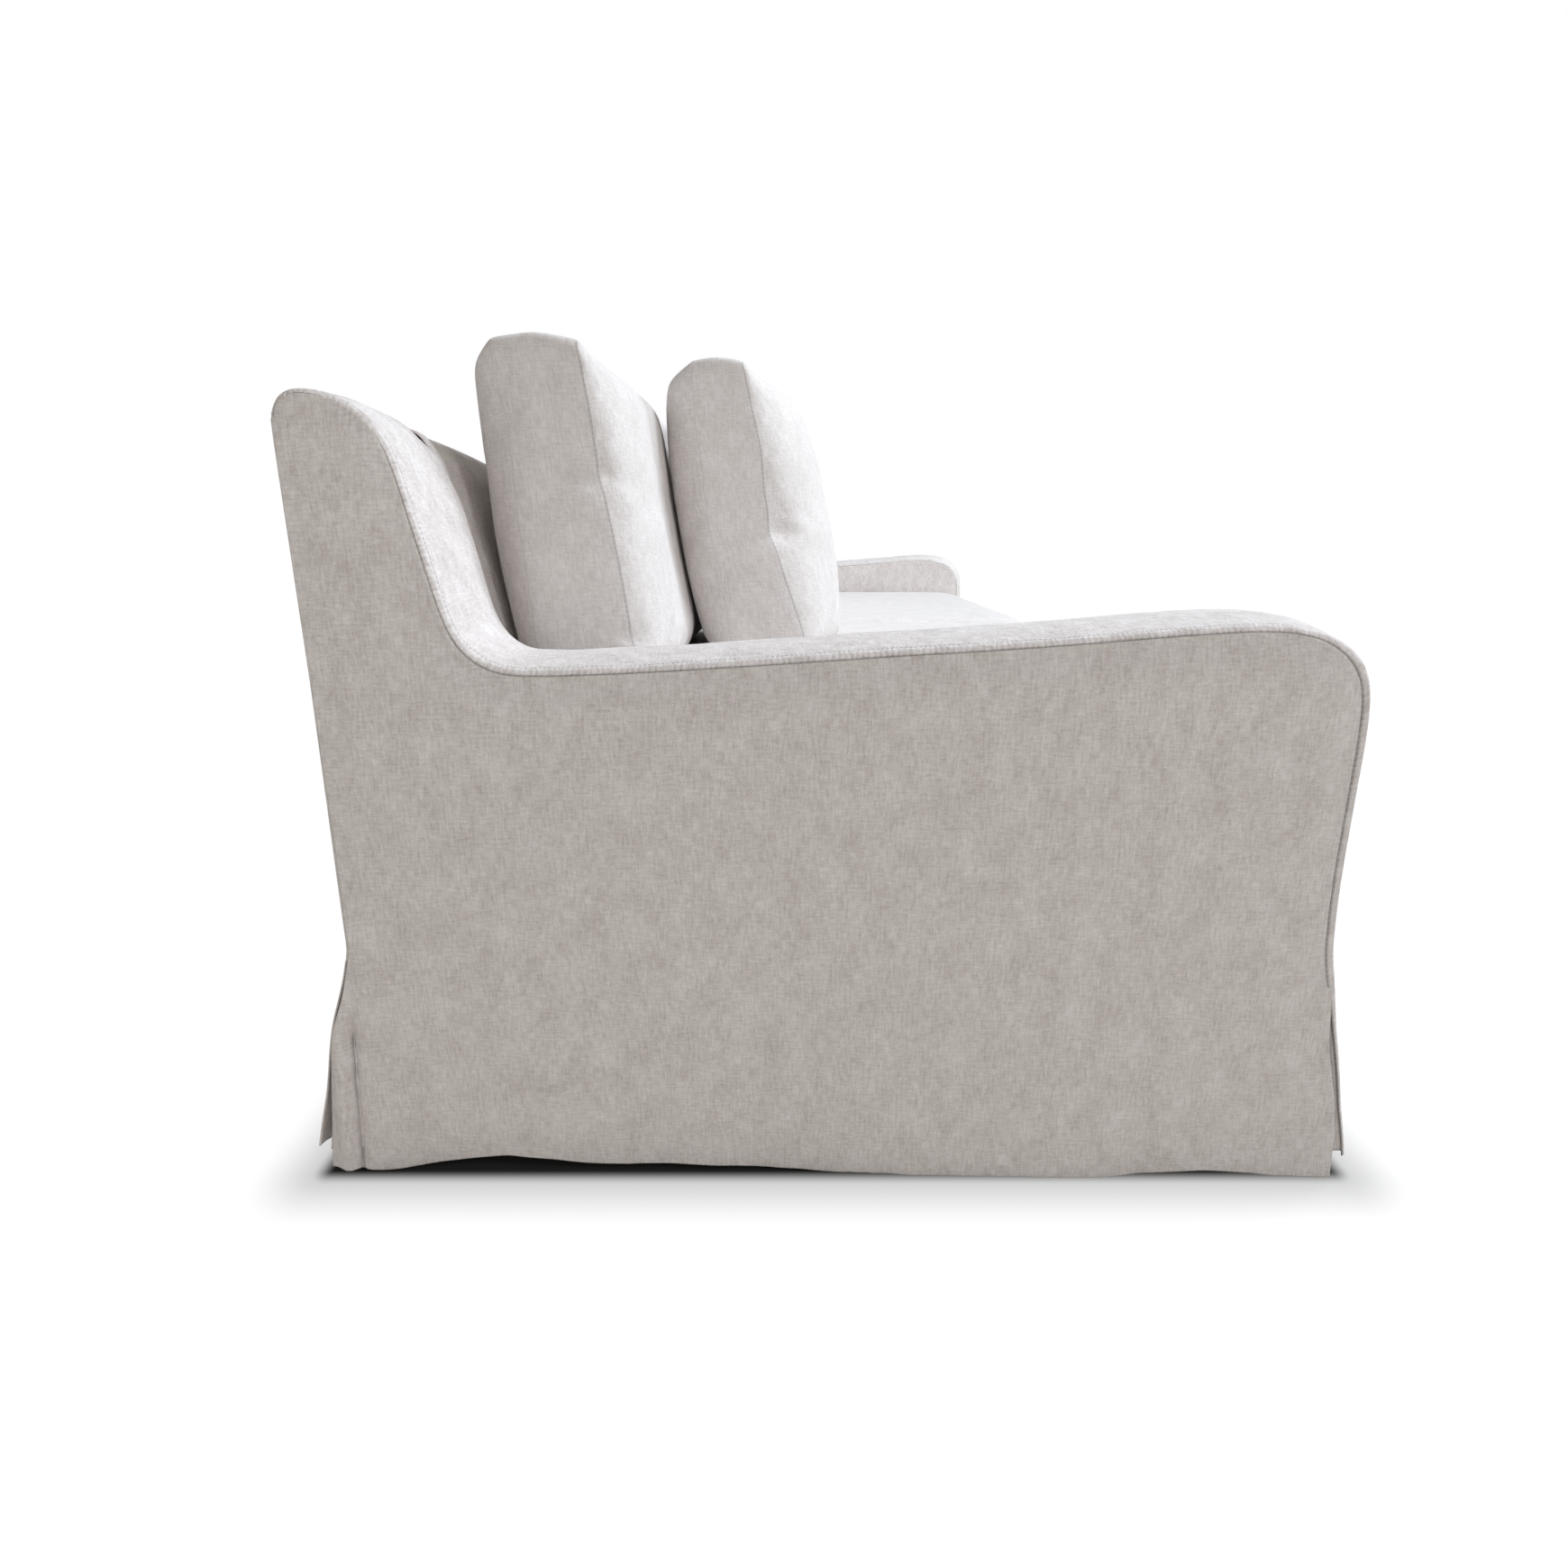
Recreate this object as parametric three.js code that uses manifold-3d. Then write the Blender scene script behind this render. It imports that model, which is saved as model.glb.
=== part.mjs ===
// A camelback sofa in a loose linen slipcover with kick pleats at its corners.
// Millimetres, +Z up. +X runs along the sofa, the front faces -Y, and the origin is on the floor,
// under the middle. Left and right are those of a person who stands in front and looks at the sofa.

import * as THREE from 'three';
import Module from 'manifold-3d';
import { mergeVertices } from 'three/addons/utils/BufferGeometryUtils.js';

const wasm = await Module();
wasm.setup();

// Outer sizes of the dressed sofa
const sofaLength = 2290;
const hemDepth = 1130;
const frontFlare = 66;
const rearFlare = 50;
const armThickness = 150;
const armFrontHeight = 605;
const armRootHeight = 556;
const wingTopHeight = 807;
const wingTopFall = 10;
const backFootDepth = 208;
const wingCrestDepth = 88;
const armNoseRadius = 92;
const armRootRadius = 80;
const wingCrestRadius = 35;
const armBandCrown = 12;

// The serpentine top line of the back: it dips beside each wing and rises to a hump in the middle
const backDip = 43;
const backHump = 93;
const backDipShare = 0.45;

// Slipcover
const coverThickness = 3;
const hemHeight = 8;
const frontSlitHeight = 228;
const rearSlitHeight = 265;
const sideFrontHemShort = 20;
const sideRearHemShort = 40;
const pleatReturn = 75;

// Hardwood frame
const legHeight = 140;
const legTopWidth = 56;
const legFootWidth = 38;
const railHeight = 150;
const railThickness = 28;
const armFrameWidth = 96;
const frontPostDepth = 60;
const armRailHeight = 28;
const centreRailDrop = 20;
const cornerBlockLeg = 90;
const cornerBlockHeight = 80;
const backRailRise = 30;
const backBottomRailHeight = 75;
const backTopRailDrop = 117;
const backTopRailEase = 6;
const centrePostDrop = 25;

// Suspension
const springWireDiameter = 4;
const springSwing = 26;
const springsPerSeat = 3;
const springLoops = 7;
const strapWidth = 60;
const strapThickness = 3;
const strapSpacing = 500;

// Padding
const armPadThickness = 25;
const backPadThickness = 28;
const deckPadThickness = 32;

// Loose seat cushions
const seatEdgeHeight = 150;
const seatCrown = 23;
const seatEdgeRoll = 120;
const seatSideDraw = 6;
const cushionGap = 2;

// Loose pillows: a row against the back, and one in front of it on each side
const backPillowHeight = 384;
const backPillowBoxing = 105;
const backPillowFrontCrown = 45;
const backPillowLean = 58;
const backPillowFootGap = 26.5;
const backPillowArmGap = 40;
const frontPillowWidth = 520;
const frontPillowHeight = 401;
const frontPillowBoxing = 105;
const frontPillowFrontCrown = 85;
const frontPillowBackCrown = 30;
const frontPillowLean = 89;
const frontPillowStep = 201;
const frontPillowArmGap = 280;
const pillowSideDraw = 9;

// Clearance between pieces that touch, and the overrun of a cut
const clearance = 0.3;
const cutOverrun = 60;

// Fineness of curves
const arcStep = Math.PI / 15;
const bandStations = 7;
const backStations = 29;
const backArcSteps = 6;
const cushionLines = 13;
const springStepsPerLoop = 8;
const springSides = 4;

// Places that follow from the sizes
const halfLength = sofaLength / 2;
const hemReach = hemDepth / 2;
const frontReach = hemReach - frontFlare;
const rearReach = hemReach - rearFlare;
const sideFrontHemReach = hemReach - sideFrontHemShort;
const sideRearHemReach = hemReach - sideRearHemShort;
const rearCoverInside = rearReach - coverThickness;
const rearSeam = rearCoverInside - clearance;
const innerArmFace = halfLength - armThickness;
const armMiddle = halfLength - armThickness / 2;
const armFrameInside = armMiddle - armFrameWidth / 2;
const armFrameOutside = armMiddle + armFrameWidth / 2;
const wingCrestHeight = wingTopHeight - wingTopFall;
const underCover = coverThickness + clearance;
const armPadInside = underCover + armPadThickness;
const armFrameInset = armPadInside + clearance;
const backPadInside = underCover + backPadThickness;
const strapFront = backPadInside + clearance;
const backRailFront = strapFront + strapThickness + clearance;
const backRailRear = backRailFront + railThickness;
const centrePostFront = backRailRear + clearance;
const railTop = legHeight + railHeight;
const railFront = -frontReach + armFrameInset;
const rearFrameFace = rearSeam - underCover;
const springHeight = railTop + clearance + springWireDiameter / 2;
const deckPadBottom = springHeight + springWireDiameter / 2 + clearance;
const deckPadTop = deckPadBottom + deckPadThickness;
const deckCoverTop = deckPadTop + clearance + coverThickness;
const seatBottom = deckCoverTop + clearance;
const seatEdgeTop = seatBottom + seatEdgeHeight;
const seatTop = seatEdgeTop + seatCrown;
const pillowBase = seatTop + clearance;
const sides = [['left', -1], ['right', 1]];

const backRakeShare = (backFootDepth - wingCrestDepth) / (wingCrestHeight - seatBottom);
const backPlane = (z) => rearReach - backFootDepth + (z - seatBottom) * backRakeShare;
const behindFace = (z, depth) => backPlane(z) + depth * Math.hypot(1, backRakeShare);
const wingRootReach = backPlane(armRootHeight);
const wingCrestReach = rearReach - wingCrestDepth;
const backTopRailBottom = wingTopHeight - backTopRailDrop;
const backPillowFrontReach = backPlane(pillowBase) - backPillowFootGap - backPillowBoxing;
const armLine = (y) => armRootHeight
  + (wingRootReach - y) * (armFrontHeight - armRootHeight) / (wingRootReach + frontReach);
const wingTopLine = (y) => wingTopHeight
  + (y - rearSeam) * wingTopFall / (rearSeam - wingCrestReach);
const easedShare = (t) => (1 - Math.cos(Math.PI * Math.min(Math.max(t, 0), 1))) / 2;

// Height of the back's top line at a place along the sofa
function backTop(x) {
  const share = Math.max(innerArmFace - Math.abs(x), 0) / innerArmFace;
  const dipped = backDip * easedShare(share / backDipShare);
  const humped = (backDip + backHump) * easedShare((share - backDipShare) / (1 - backDipShare));
  return wingTopHeight - dipped + humped;
}

const palette = {
  slipcover: { color: 0xe6e0da, roughness: 0.92, metalness: 0 },
  cushionCover: { color: 0xe9e4df, roughness: 0.92, metalness: 0 },
  hardwood: { color: 0xb98f62, roughness: 0.62, metalness: 0 },
  legWood: { color: 0x4a3425, roughness: 0.45, metalness: 0 },
  springSteel: { color: 0x6f7276, roughness: 0.38, metalness: 0.9 },
  webbing: { color: 0x9b8a6a, roughness: 0.95, metalness: 0 },
  padding: { color: 0xefe9d9, roughness: 1, metalness: 0 },
};

const sofa = new THREE.Group();

function addPiece(name, geometry, finish) {
  const mesh = new THREE.Mesh(geometry, new THREE.MeshStandardMaterial(palette[finish]));
  mesh.name = name;
  sofa.add(mesh);
  return mesh;
}

// A closed mesh with its faces turned outwards, whichever way round its points were given
function closedSolid(points, faces) {
  let volume = 0;
  for (const [a, b, c] of faces) {
    volume += points[a].dot(new THREE.Vector3().crossVectors(points[b], points[c]));
  }
  const index = faces.flatMap(([a, b, c]) => (volume < 0 ? [a, c, b] : [a, b, c]));
  const geometry = new THREE.BufferGeometry().setFromPoints(points);
  geometry.setIndex(index);
  geometry.computeVertexNormals();
  return geometry;
}

// The solid between two grids of points that have the same rows and columns
function shellBetween(outer, inner) {
  const rows = outer.length;
  const columns = outer[0].length;
  const points = [...outer.flat(), ...inner.flat()];
  const at = (layer, i, j) => layer * rows * columns + i * columns + j;
  const faces = [];
  const quad = (a, b, c, d) => faces.push([a, b, c], [a, c, d]);
  for (let i = 0; i + 1 < rows; i++) {
    for (let j = 0; j + 1 < columns; j++) {
      quad(at(0, i, j), at(0, i + 1, j), at(0, i + 1, j + 1), at(0, i, j + 1));
      quad(at(1, i, j), at(1, i, j + 1), at(1, i + 1, j + 1), at(1, i + 1, j));
    }
  }
  for (let i = 0; i + 1 < rows; i++) {
    quad(at(0, i, 0), at(1, i, 0), at(1, i + 1, 0), at(0, i + 1, 0));
    const last = columns - 1;
    quad(at(0, i + 1, last), at(1, i + 1, last), at(1, i, last), at(0, i, last));
  }
  for (let j = 0; j + 1 < columns; j++) {
    quad(at(0, 0, j + 1), at(1, 0, j + 1), at(1, 0, j), at(0, 0, j));
    const last = rows - 1;
    quad(at(0, last, j), at(1, last, j), at(1, last, j + 1), at(0, last, j + 1));
  }
  return closedSolid(points, faces);
}

// The solid between two level outlines with the same number of points
function loftBetween(lower, upper) {
  const count = lower.length;
  const faces = [];
  for (let i = 0; i < count; i++) {
    const next = (i + 1) % count;
    faces.push([i, next, count + next], [i, count + next, count + i]);
  }
  const outline = lower.map((p) => new THREE.Vector2(p.x, p.y));
  for (const [a, b, c] of THREE.ShapeUtils.triangulateShape(outline, [])) {
    const turned = THREE.ShapeUtils.isClockWise(outline);
    faces.push(turned ? [a, b, c] : [a, c, b]);
    faces.push(turned ? [count + a, count + c, count + b] : [count + a, count + b, count + c]);
  }
  return closedSolid([...lower, ...upper], faces);
}

// Points of a path through corners given as [y, z, radius], with an arc at each rounded corner
function filletedPath(corners, arcSteps = 0) {
  const path = [];
  corners.forEach(([y, z, radius], i) => {
    const corner = new THREE.Vector2(y, z);
    if (!radius) {
      path.push(corner);
      return;
    }
    const towards = (other) => new THREE.Vector2(other[0], other[1]).sub(corner).normalize();
    const back = towards(corners[i - 1]);
    const ahead = towards(corners[i + 1]);
    const half = Math.acos(back.dot(ahead)) / 2;
    const turn = Math.PI - 2 * half;
    const centre = corner.clone().addScaledVector(back.clone().add(ahead).normalize(),
      radius / Math.sin(half));
    const start = corner.clone().addScaledVector(back, radius / Math.tan(half)).sub(centre);
    const end = corner.clone().addScaledVector(ahead, radius / Math.tan(half)).sub(centre);
    const steps = arcSteps || Math.ceil(turn / arcStep);
    for (let k = 0; k <= steps; k++) {
      const share = k / steps;
      path.push(centre.clone()
        .addScaledVector(start, Math.sin((1 - share) * turn) / Math.sin(turn))
        .addScaledVector(end, Math.sin(share * turn) / Math.sin(turn)));
    }
  });
  return path;
}

// Unit direction to the left of the path at each of its points, longer where the path turns
function leftNormals(path, closed) {
  const count = path.length;
  const leftOf = (a, b) => new THREE.Vector2(a.y - b.y, b.x - a.x).normalize();
  return path.map((point, i) => {
    const before = closed || i > 0 ? leftOf(path[(i + count - 1) % count], point) : null;
    const after = closed || i + 1 < count ? leftOf(point, path[(i + 1) % count]) : null;
    if (!before || !after) return before ?? after;
    const sum = before.clone().add(after);
    return sum.multiplyScalar(2 / sum.lengthSq());
  });
}

// A path moved sideways by a distance, to the right of its direction
function insetPath(path, distance, closed = true) {
  const normals = leftNormals(path, closed);
  return path.map((point, i) => point.clone().addScaledVector(normals[i], -distance));
}

// A prism along X from an outline in Y and Z
function prismAlongX(outline, xFrom, xTo) {
  const shape = new THREE.Shape(outline.map((p) => new THREE.Vector2(p.x, p.y)));
  const low = Math.min(xFrom, xTo);
  const geometry = new THREE.ExtrudeGeometry(shape,
    { depth: Math.abs(xTo - xFrom), bevelEnabled: false });
  const turn = new THREE.Matrix4().makeBasis(
    new THREE.Vector3(0, 1, 0), new THREE.Vector3(0, 0, 1), new THREE.Vector3(1, 0, 0));
  return geometry.applyMatrix4(turn).translate(low, 0, 0);
}

const outlineOf = (pairs) => pairs.map(([y, z]) => new THREE.Vector2(y, z));

// A board with square edges between two opposite corners
function board(xFrom, xTo, yFrom, yTo, zFrom, zTo) {
  const geometry = new THREE.BoxGeometry(Math.abs(xTo - xFrom), Math.abs(yTo - yFrom),
    Math.abs(zTo - zFrom));
  return geometry.translate((xFrom + xTo) / 2, (yFrom + yTo) / 2, (zFrom + zTo) / 2);
}

// A slab that leans with the back, from one height to another and between two depths behind its face
function rakedSlab(xFrom, xTo, zFrom, zTo, depthFrom, depthTo) {
  return prismAlongX(outlineOf([
    [behindFace(zFrom, depthFrom), zFrom], [behindFace(zFrom, depthTo), zFrom],
    [behindFace(zTo, depthTo), zTo], [behindFace(zTo, depthFrom), zTo],
  ]), xFrom, xTo);
}

function toManifold(geometry) {
  const bare = geometry.clone();
  bare.deleteAttribute('normal');
  bare.deleteAttribute('uv');
  const merged = mergeVertices(bare);
  return new wasm.Manifold(new wasm.Mesh({
    numProp: 3,
    vertProperties: new Float32Array(merged.attributes.position.array),
    triVerts: new Uint32Array(merged.index.array),
  }));
}

function fromManifold(solid) {
  const mesh = solid.getMesh();
  const geometry = new THREE.BufferGeometry();
  geometry.setAttribute('position', new THREE.BufferAttribute(mesh.vertProperties, 3));
  geometry.setIndex(new THREE.BufferAttribute(mesh.triVerts, 1));
  geometry.computeVertexNormals();
  return geometry;
}

const cutFrom = (body, ...tools) => fromManifold(
  tools.reduce((solid, tool) => solid.subtract(toManifold(tool)), toManifold(body)));
const commonTo = (a, b) => fromManifold(toManifold(a).intersect(toManifold(b)));

// The one-piece profile of arm and wing, as corners from the front to the rear top
function armWingCorners(frontBottom, rearFace) {
  return [
    ...frontBottom,
    [-frontReach, armFrontHeight, armNoseRadius],
    [wingRootReach, armRootHeight, armRootRadius],
    [wingCrestReach, wingCrestHeight, wingCrestRadius],
    [rearFace, wingTopLine(rearFace), 0],
  ];
}

// The profile closed below at a height and drawn in by a depth on every edge but that one
function armWingCore(depth, bottom, rearFace = rearSeam) {
  const open = armWingCorners([[-frontReach, bottom - depth, 0]], rearFace);
  return insetPath(filletedPath([...open, [rearFace, bottom - depth, 0]]), depth);
}

// Slipcover side: one flat panel from the arm and wing seam down to the hem
function coverSide(side) {
  const corners = armWingCorners(
    [[-sideFrontHemReach, hemHeight, 0], [-frontReach, frontSlitHeight, 0]], rearSeam);
  const outline = filletedPath([...corners,
    [rearSeam, rearSlitHeight, 0], [sideRearHemReach, hemHeight, 0]]);
  return prismAlongX(outline, side * (halfLength - coverThickness), side * halfLength);
}

// Slipcover band: a crowned strip from the front hem over the arm and the wing to the rear seam
function coverArmBand(side) {
  const path = filletedPath(armWingCorners(
    [[-hemReach, hemHeight, 0], [-frontReach, frontSlitHeight, 0]], rearSeam - clearance));
  const normals = leftNormals(path, false);
  const inside = innerArmFace + underCover;
  const outside = halfLength - underCover;
  const layer = (depth) => path.map((point, i) => {
    const row = [];
    for (let j = 0; j < bandStations; j++) {
      const across = j / (bandStations - 1);
      const crown = i > 0 ? armBandCrown : 0;
      const rise = crown * (1 - (2 * across - 1) ** 2) - depth;
      row.push(new THREE.Vector3(side * THREE.MathUtils.lerp(inside, outside, across),
        point.x + normals[i].x * rise, point.y + normals[i].y * rise));
    }
    return row;
  });
  return shellBetween(layer(0), layer(coverThickness));
}

// Slipcover inner arm: the panel between the arm band, the deck and the back
function coverInnerArm(side) {
  const outline = filletedPath([
    [-frontReach, deckPadBottom, 0],
    [-frontReach, armFrontHeight, armNoseRadius],
    [wingRootReach - clearance, armRootHeight, 0],
    [backPlane(deckPadBottom) - clearance, deckPadBottom, 0],
  ]);
  return prismAlongX(outline, side * innerArmFace, side * (innerArmFace + coverThickness));
}

// Path up the face of the back and over its top, drawn in by a depth and trimmed to a rear face
function backPath(x, depth, rearFace) {
  const top = backTop(x);
  const crest = top - wingTopFall;
  const face = filletedPath([
    [backPlane(deckPadBottom), deckPadBottom, 0],
    [backPlane(crest), crest, wingCrestRadius],
    [rearSeam, top, 0],
  ], backArcSteps);
  const path = insetPath(face, depth, false);
  const [first, second] = path;
  const [beforeLast, last] = path.slice(-2);
  first.lerp(second, (deckPadBottom - first.y) / (second.y - first.y));
  last.lerp(beforeLast, (rearFace - last.x) / (beforeLast.x - last.x));
  return path;
}

// A layer of the back between two depths behind its face, along the whole top line
function backLayer(depthFrom, depthTo, rearFace) {
  const reach = innerArmFace + coverThickness;
  const rows = (depth) => Array.from({ length: backStations }, (_, i) => {
    const x = THREE.MathUtils.lerp(-reach, reach, i / (backStations - 1));
    return backPath(x, depth, rearFace).map((p) => new THREE.Vector3(x, p.x, p.y));
  });
  return shellBetween(rows(depthFrom), rows(depthTo));
}

// Slipcover outside back: a panel with the serpentine top line, flared below its slits
function coverOutsideBack() {
  const rows = (depth) => Array.from({ length: backStations }, (_, i) => {
    const x = THREE.MathUtils.lerp(-halfLength, halfLength, i / (backStations - 1));
    return [[rearReach, backTop(x)], [rearReach, rearSlitHeight], [hemReach, hemHeight]]
      .map(([y, z]) => new THREE.Vector3(x, y - depth, z));
  });
  return shellBetween(rows(0), rows(coverThickness));
}

// Slipcover front: the border under the seat cushions, flared below the height of the slits
function coverFront() {
  const reach = innerArmFace - clearance;
  return prismAlongX(outlineOf([
    [-frontReach, deckPadTop], [-frontReach, frontSlitHeight], [-hemReach, hemHeight],
    [-hemReach + coverThickness, hemHeight], [-frontReach + coverThickness, frontSlitHeight],
    [-frontReach + coverThickness, deckPadTop],
  ]), -reach, reach);
}

// Kick pleat insert: an angle of cloth that hangs behind the slit at a corner
function kickPleat(side, end) {
  const slitHeight = end < 0 ? frontSlitHeight : rearSlitHeight;
  const topReach = (end < 0 ? frontReach : rearReach) - underCover;
  const outerX = halfLength - underCover;
  const ring = (reach, z) => [
    [outerX, reach], [outerX - pleatReturn, reach],
    [outerX - pleatReturn, reach - coverThickness],
    [outerX - coverThickness, reach - coverThickness],
    [outerX - coverThickness, reach - pleatReturn], [outerX, reach - pleatReturn],
  ].map(([x, y]) => new THREE.Vector3(side * x, end * y, z));
  return loftBetween(ring(hemReach - underCover, hemHeight), ring(topReach, slitHeight));
}

// Padding over the arm and wing: open below and behind, where the frame comes in
function armPad(side) {
  const body = prismAlongX(armWingCore(underCover, deckPadBottom),
    side * (innerArmFace + underCover), side * (halfLength - underCover));
  const hollow = prismAlongX(
    armWingCore(armPadInside, deckPadBottom - cutOverrun, rearSeam + armPadInside + cutOverrun),
    side * (armFrameInside - clearance), side * (armFrameOutside + clearance));
  const behindBack = rakedSlab(side * (innerArmFace - cutOverrun), side * armMiddle,
    deckPadBottom - cutOverrun, wingCrestHeight - armPadInside, armPadInside, hemReach);
  return cutFrom(body, hollow, behindBack);
}

// The space inside the padding of an arm, which its timbers are shaped to
function armFrameSpace(side) {
  const bottom = legHeight - cutOverrun;
  return prismAlongX(armWingCore(armFrameInset, bottom, rearSeam + armFrameInset),
    side * (armFrameInside - cutOverrun), side * (armFrameOutside + cutOverrun));
}

const frontPostRear = railFront + frontPostDepth;
const rearPostFront = wingRootReach + armFrameInset;

function armPost(side, yFrom, yTo) {
  const blank = board(side * armFrameInside, side * armFrameOutside, yFrom, yTo,
    legHeight, wingTopHeight);
  return commonTo(blank, armFrameSpace(side));
}

function armTopRail(side) {
  const front = frontPostRear + clearance;
  const rear = rearPostFront - clearance;
  const under = armFrameInset + armRailHeight;
  const blank = prismAlongX(outlineOf([
    [front, armLine(front)], [rear, armLine(rear)],
    [rear, armLine(rear) - under], [front, armLine(front) - under],
  ]), side * armFrameInside, side * armFrameOutside);
  return commonTo(blank, armFrameSpace(side));
}

// Top rail of the back: a leaning board sawn to the serpentine line
function backTopRail() {
  const reach = armFrameInside - clearance;
  const drop = backPadInside + wingTopFall + backTopRailEase;
  const rows = (depth) => Array.from({ length: backStations }, (_, i) => {
    const x = THREE.MathUtils.lerp(-reach, reach, i / (backStations - 1));
    return [backTopRailBottom, backTop(x) - drop]
      .map((z) => new THREE.Vector3(x, behindFace(z, depth), z));
  });
  return shellBetween(rows(backRailFront), rows(backRailRear));
}

function backCentrePost() {
  const bottom = railTop + clearance;
  const top = wingTopHeight - centrePostDrop;
  return prismAlongX(outlineOf([
    [behindFace(bottom, centrePostFront), bottom], [rearFrameFace, bottom],
    [rearFrameFace, top], [behindFace(top, centrePostFront), top],
  ]), -railThickness / 2, railThickness / 2);
}

// Corner block: a triangle glued into the angle of two rails
function cornerBlock(side, end) {
  const x = side * (armFrameInside - clearance);
  const inward = end < 0 ? railFront + railThickness : rearFrameFace - railThickness;
  const y = inward - end * clearance;
  const ring = (z) => [
    new THREE.Vector3(x, y, z), new THREE.Vector3(x - side * cornerBlockLeg, y, z),
    new THREE.Vector3(x, y - end * cornerBlockLeg, z),
  ];
  const top = railTop - centreRailDrop;
  return loftBetween(ring(top - cornerBlockHeight), ring(top));
}

// Leg: a square block tapered to its foot, with its top under the frame
function leg() {
  const halfDiagonal = (width) => width / Math.SQRT2;
  const profile = [[0, 0], [halfDiagonal(legFootWidth), 0],
    [halfDiagonal(legTopWidth), legHeight - clearance], [0, legHeight - clearance]];
  const geometry = new THREE.LatheGeometry(profile.map(([r, h]) => new THREE.Vector2(r, h)), 4);
  return geometry.rotateY(Math.PI / 4).rotateX(Math.PI / 2);
}

// Sinuous spring: one wire that swings from side to side on its way from the front to the rear rail
class SinuousWire extends THREE.Curve {
  getPoint(t, target = new THREE.Vector3()) {
    const front = railFront + railThickness / 2;
    const rear = rearFrameFace - railThickness / 2;
    return target.set(springSwing * Math.sin(2 * Math.PI * springLoops * t),
      THREE.MathUtils.lerp(front, rear, t), springHeight);
  }
}

function sinuousSpring() {
  const section = new THREE.Shape(Array.from({ length: springSides }, (_, i) => {
    const angle = 2 * Math.PI * (i + 1 / 2) / springSides;
    const radius = springWireDiameter / 2 / Math.cos(Math.PI / springSides);
    return new THREE.Vector2(radius * Math.cos(angle), radius * Math.sin(angle));
  }));
  return new THREE.ExtrudeGeometry(section,
    { extrudePath: new SinuousWire(), steps: springLoops * springStepsPerLoop });
}

// Places of grid lines between 0 and 1, closer together towards both ends
const gridShares = Array.from({ length: cushionLines },
  (_, i) => (1 - Math.cos(Math.PI * i / (cushionLines - 1))) / 2);

// Seat cushion: boxed foam with a flat top that rolls off at its edges and sides drawn in
function seatCushion(side) {
  const xFrom = cushionGap / 2;
  const xTo = innerArmFace - cushionGap;
  const yFrom = -frontReach;
  const rearLower = backPlane(seatBottom) - cushionGap;
  const rearUpper = backPlane(seatEdgeTop) - cushionGap;
  const rolled = (distance) => Math.sin(Math.PI / 2 * Math.min(distance / seatEdgeRoll, 1));
  const layer = (rearEdge, bottom, crown) => gridShares.map((s) => gridShares.map((t) => {
    const drawX = seatSideDraw * (2 * s - 1) * Math.sin(Math.PI * t);
    const drawY = seatSideDraw * (2 * t - 1) * Math.sin(Math.PI * s);
    const x = THREE.MathUtils.lerp(xFrom, xTo, s);
    const y = THREE.MathUtils.lerp(yFrom, rearEdge, t);
    const rise = crown * rolled(Math.min(x - xFrom, xTo - x))
      * rolled(Math.min(y - yFrom, rearEdge - y));
    return new THREE.Vector3(side * (x - drawX), y - drawY, bottom + rise);
  }));
  return shellBetween(layer(rearUpper, seatEdgeTop, seatCrown),
    layer(rearLower, seatBottom, 0));
}

// Fullness of a pillow's face, from 0 at its seams to 1 in the middle
const domeShare = 0.6;
const dome = (s, t) => (Math.sin(Math.PI * s) * Math.sin(Math.PI * t)) ** domeShare;

// Pillow: boxed, crowned on both faces, drawn in along its sides and top, leaning back from its base
function pillow({ width, height, boxing, frontCrown, backCrown, lean }) {
  const layer = (y, crown) => gridShares.map((s) => gridShares.map((t) => {
    const drawX = pillowSideDraw * (2 * s - 1) * Math.sin(Math.PI * t);
    const drawZ = pillowSideDraw * Math.sin(Math.PI * s) * t;
    const z = height * t - drawZ;
    return new THREE.Vector3(width * (s - 1 / 2) - drawX,
      y + crown * dome(s, t) + lean * z / height, z);
  }));
  return shellBetween(layer(0, -frontCrown), layer(boxing, backCrown));
}

// Crown that makes a back pillow just touch the face of the back
function crownToBack() {
  const height = backPillowHeight - pillowSideDraw;
  return Math.min(...gridShares.slice(1, -1).map((t) => {
    const seam = backPillowFrontReach + backPillowBoxing
      + backPillowLean * height * t / backPillowHeight;
    return (backPlane(pillowBase + height * t) - clearance - seam) / dome(1 / 2, t);
  }));
}

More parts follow.
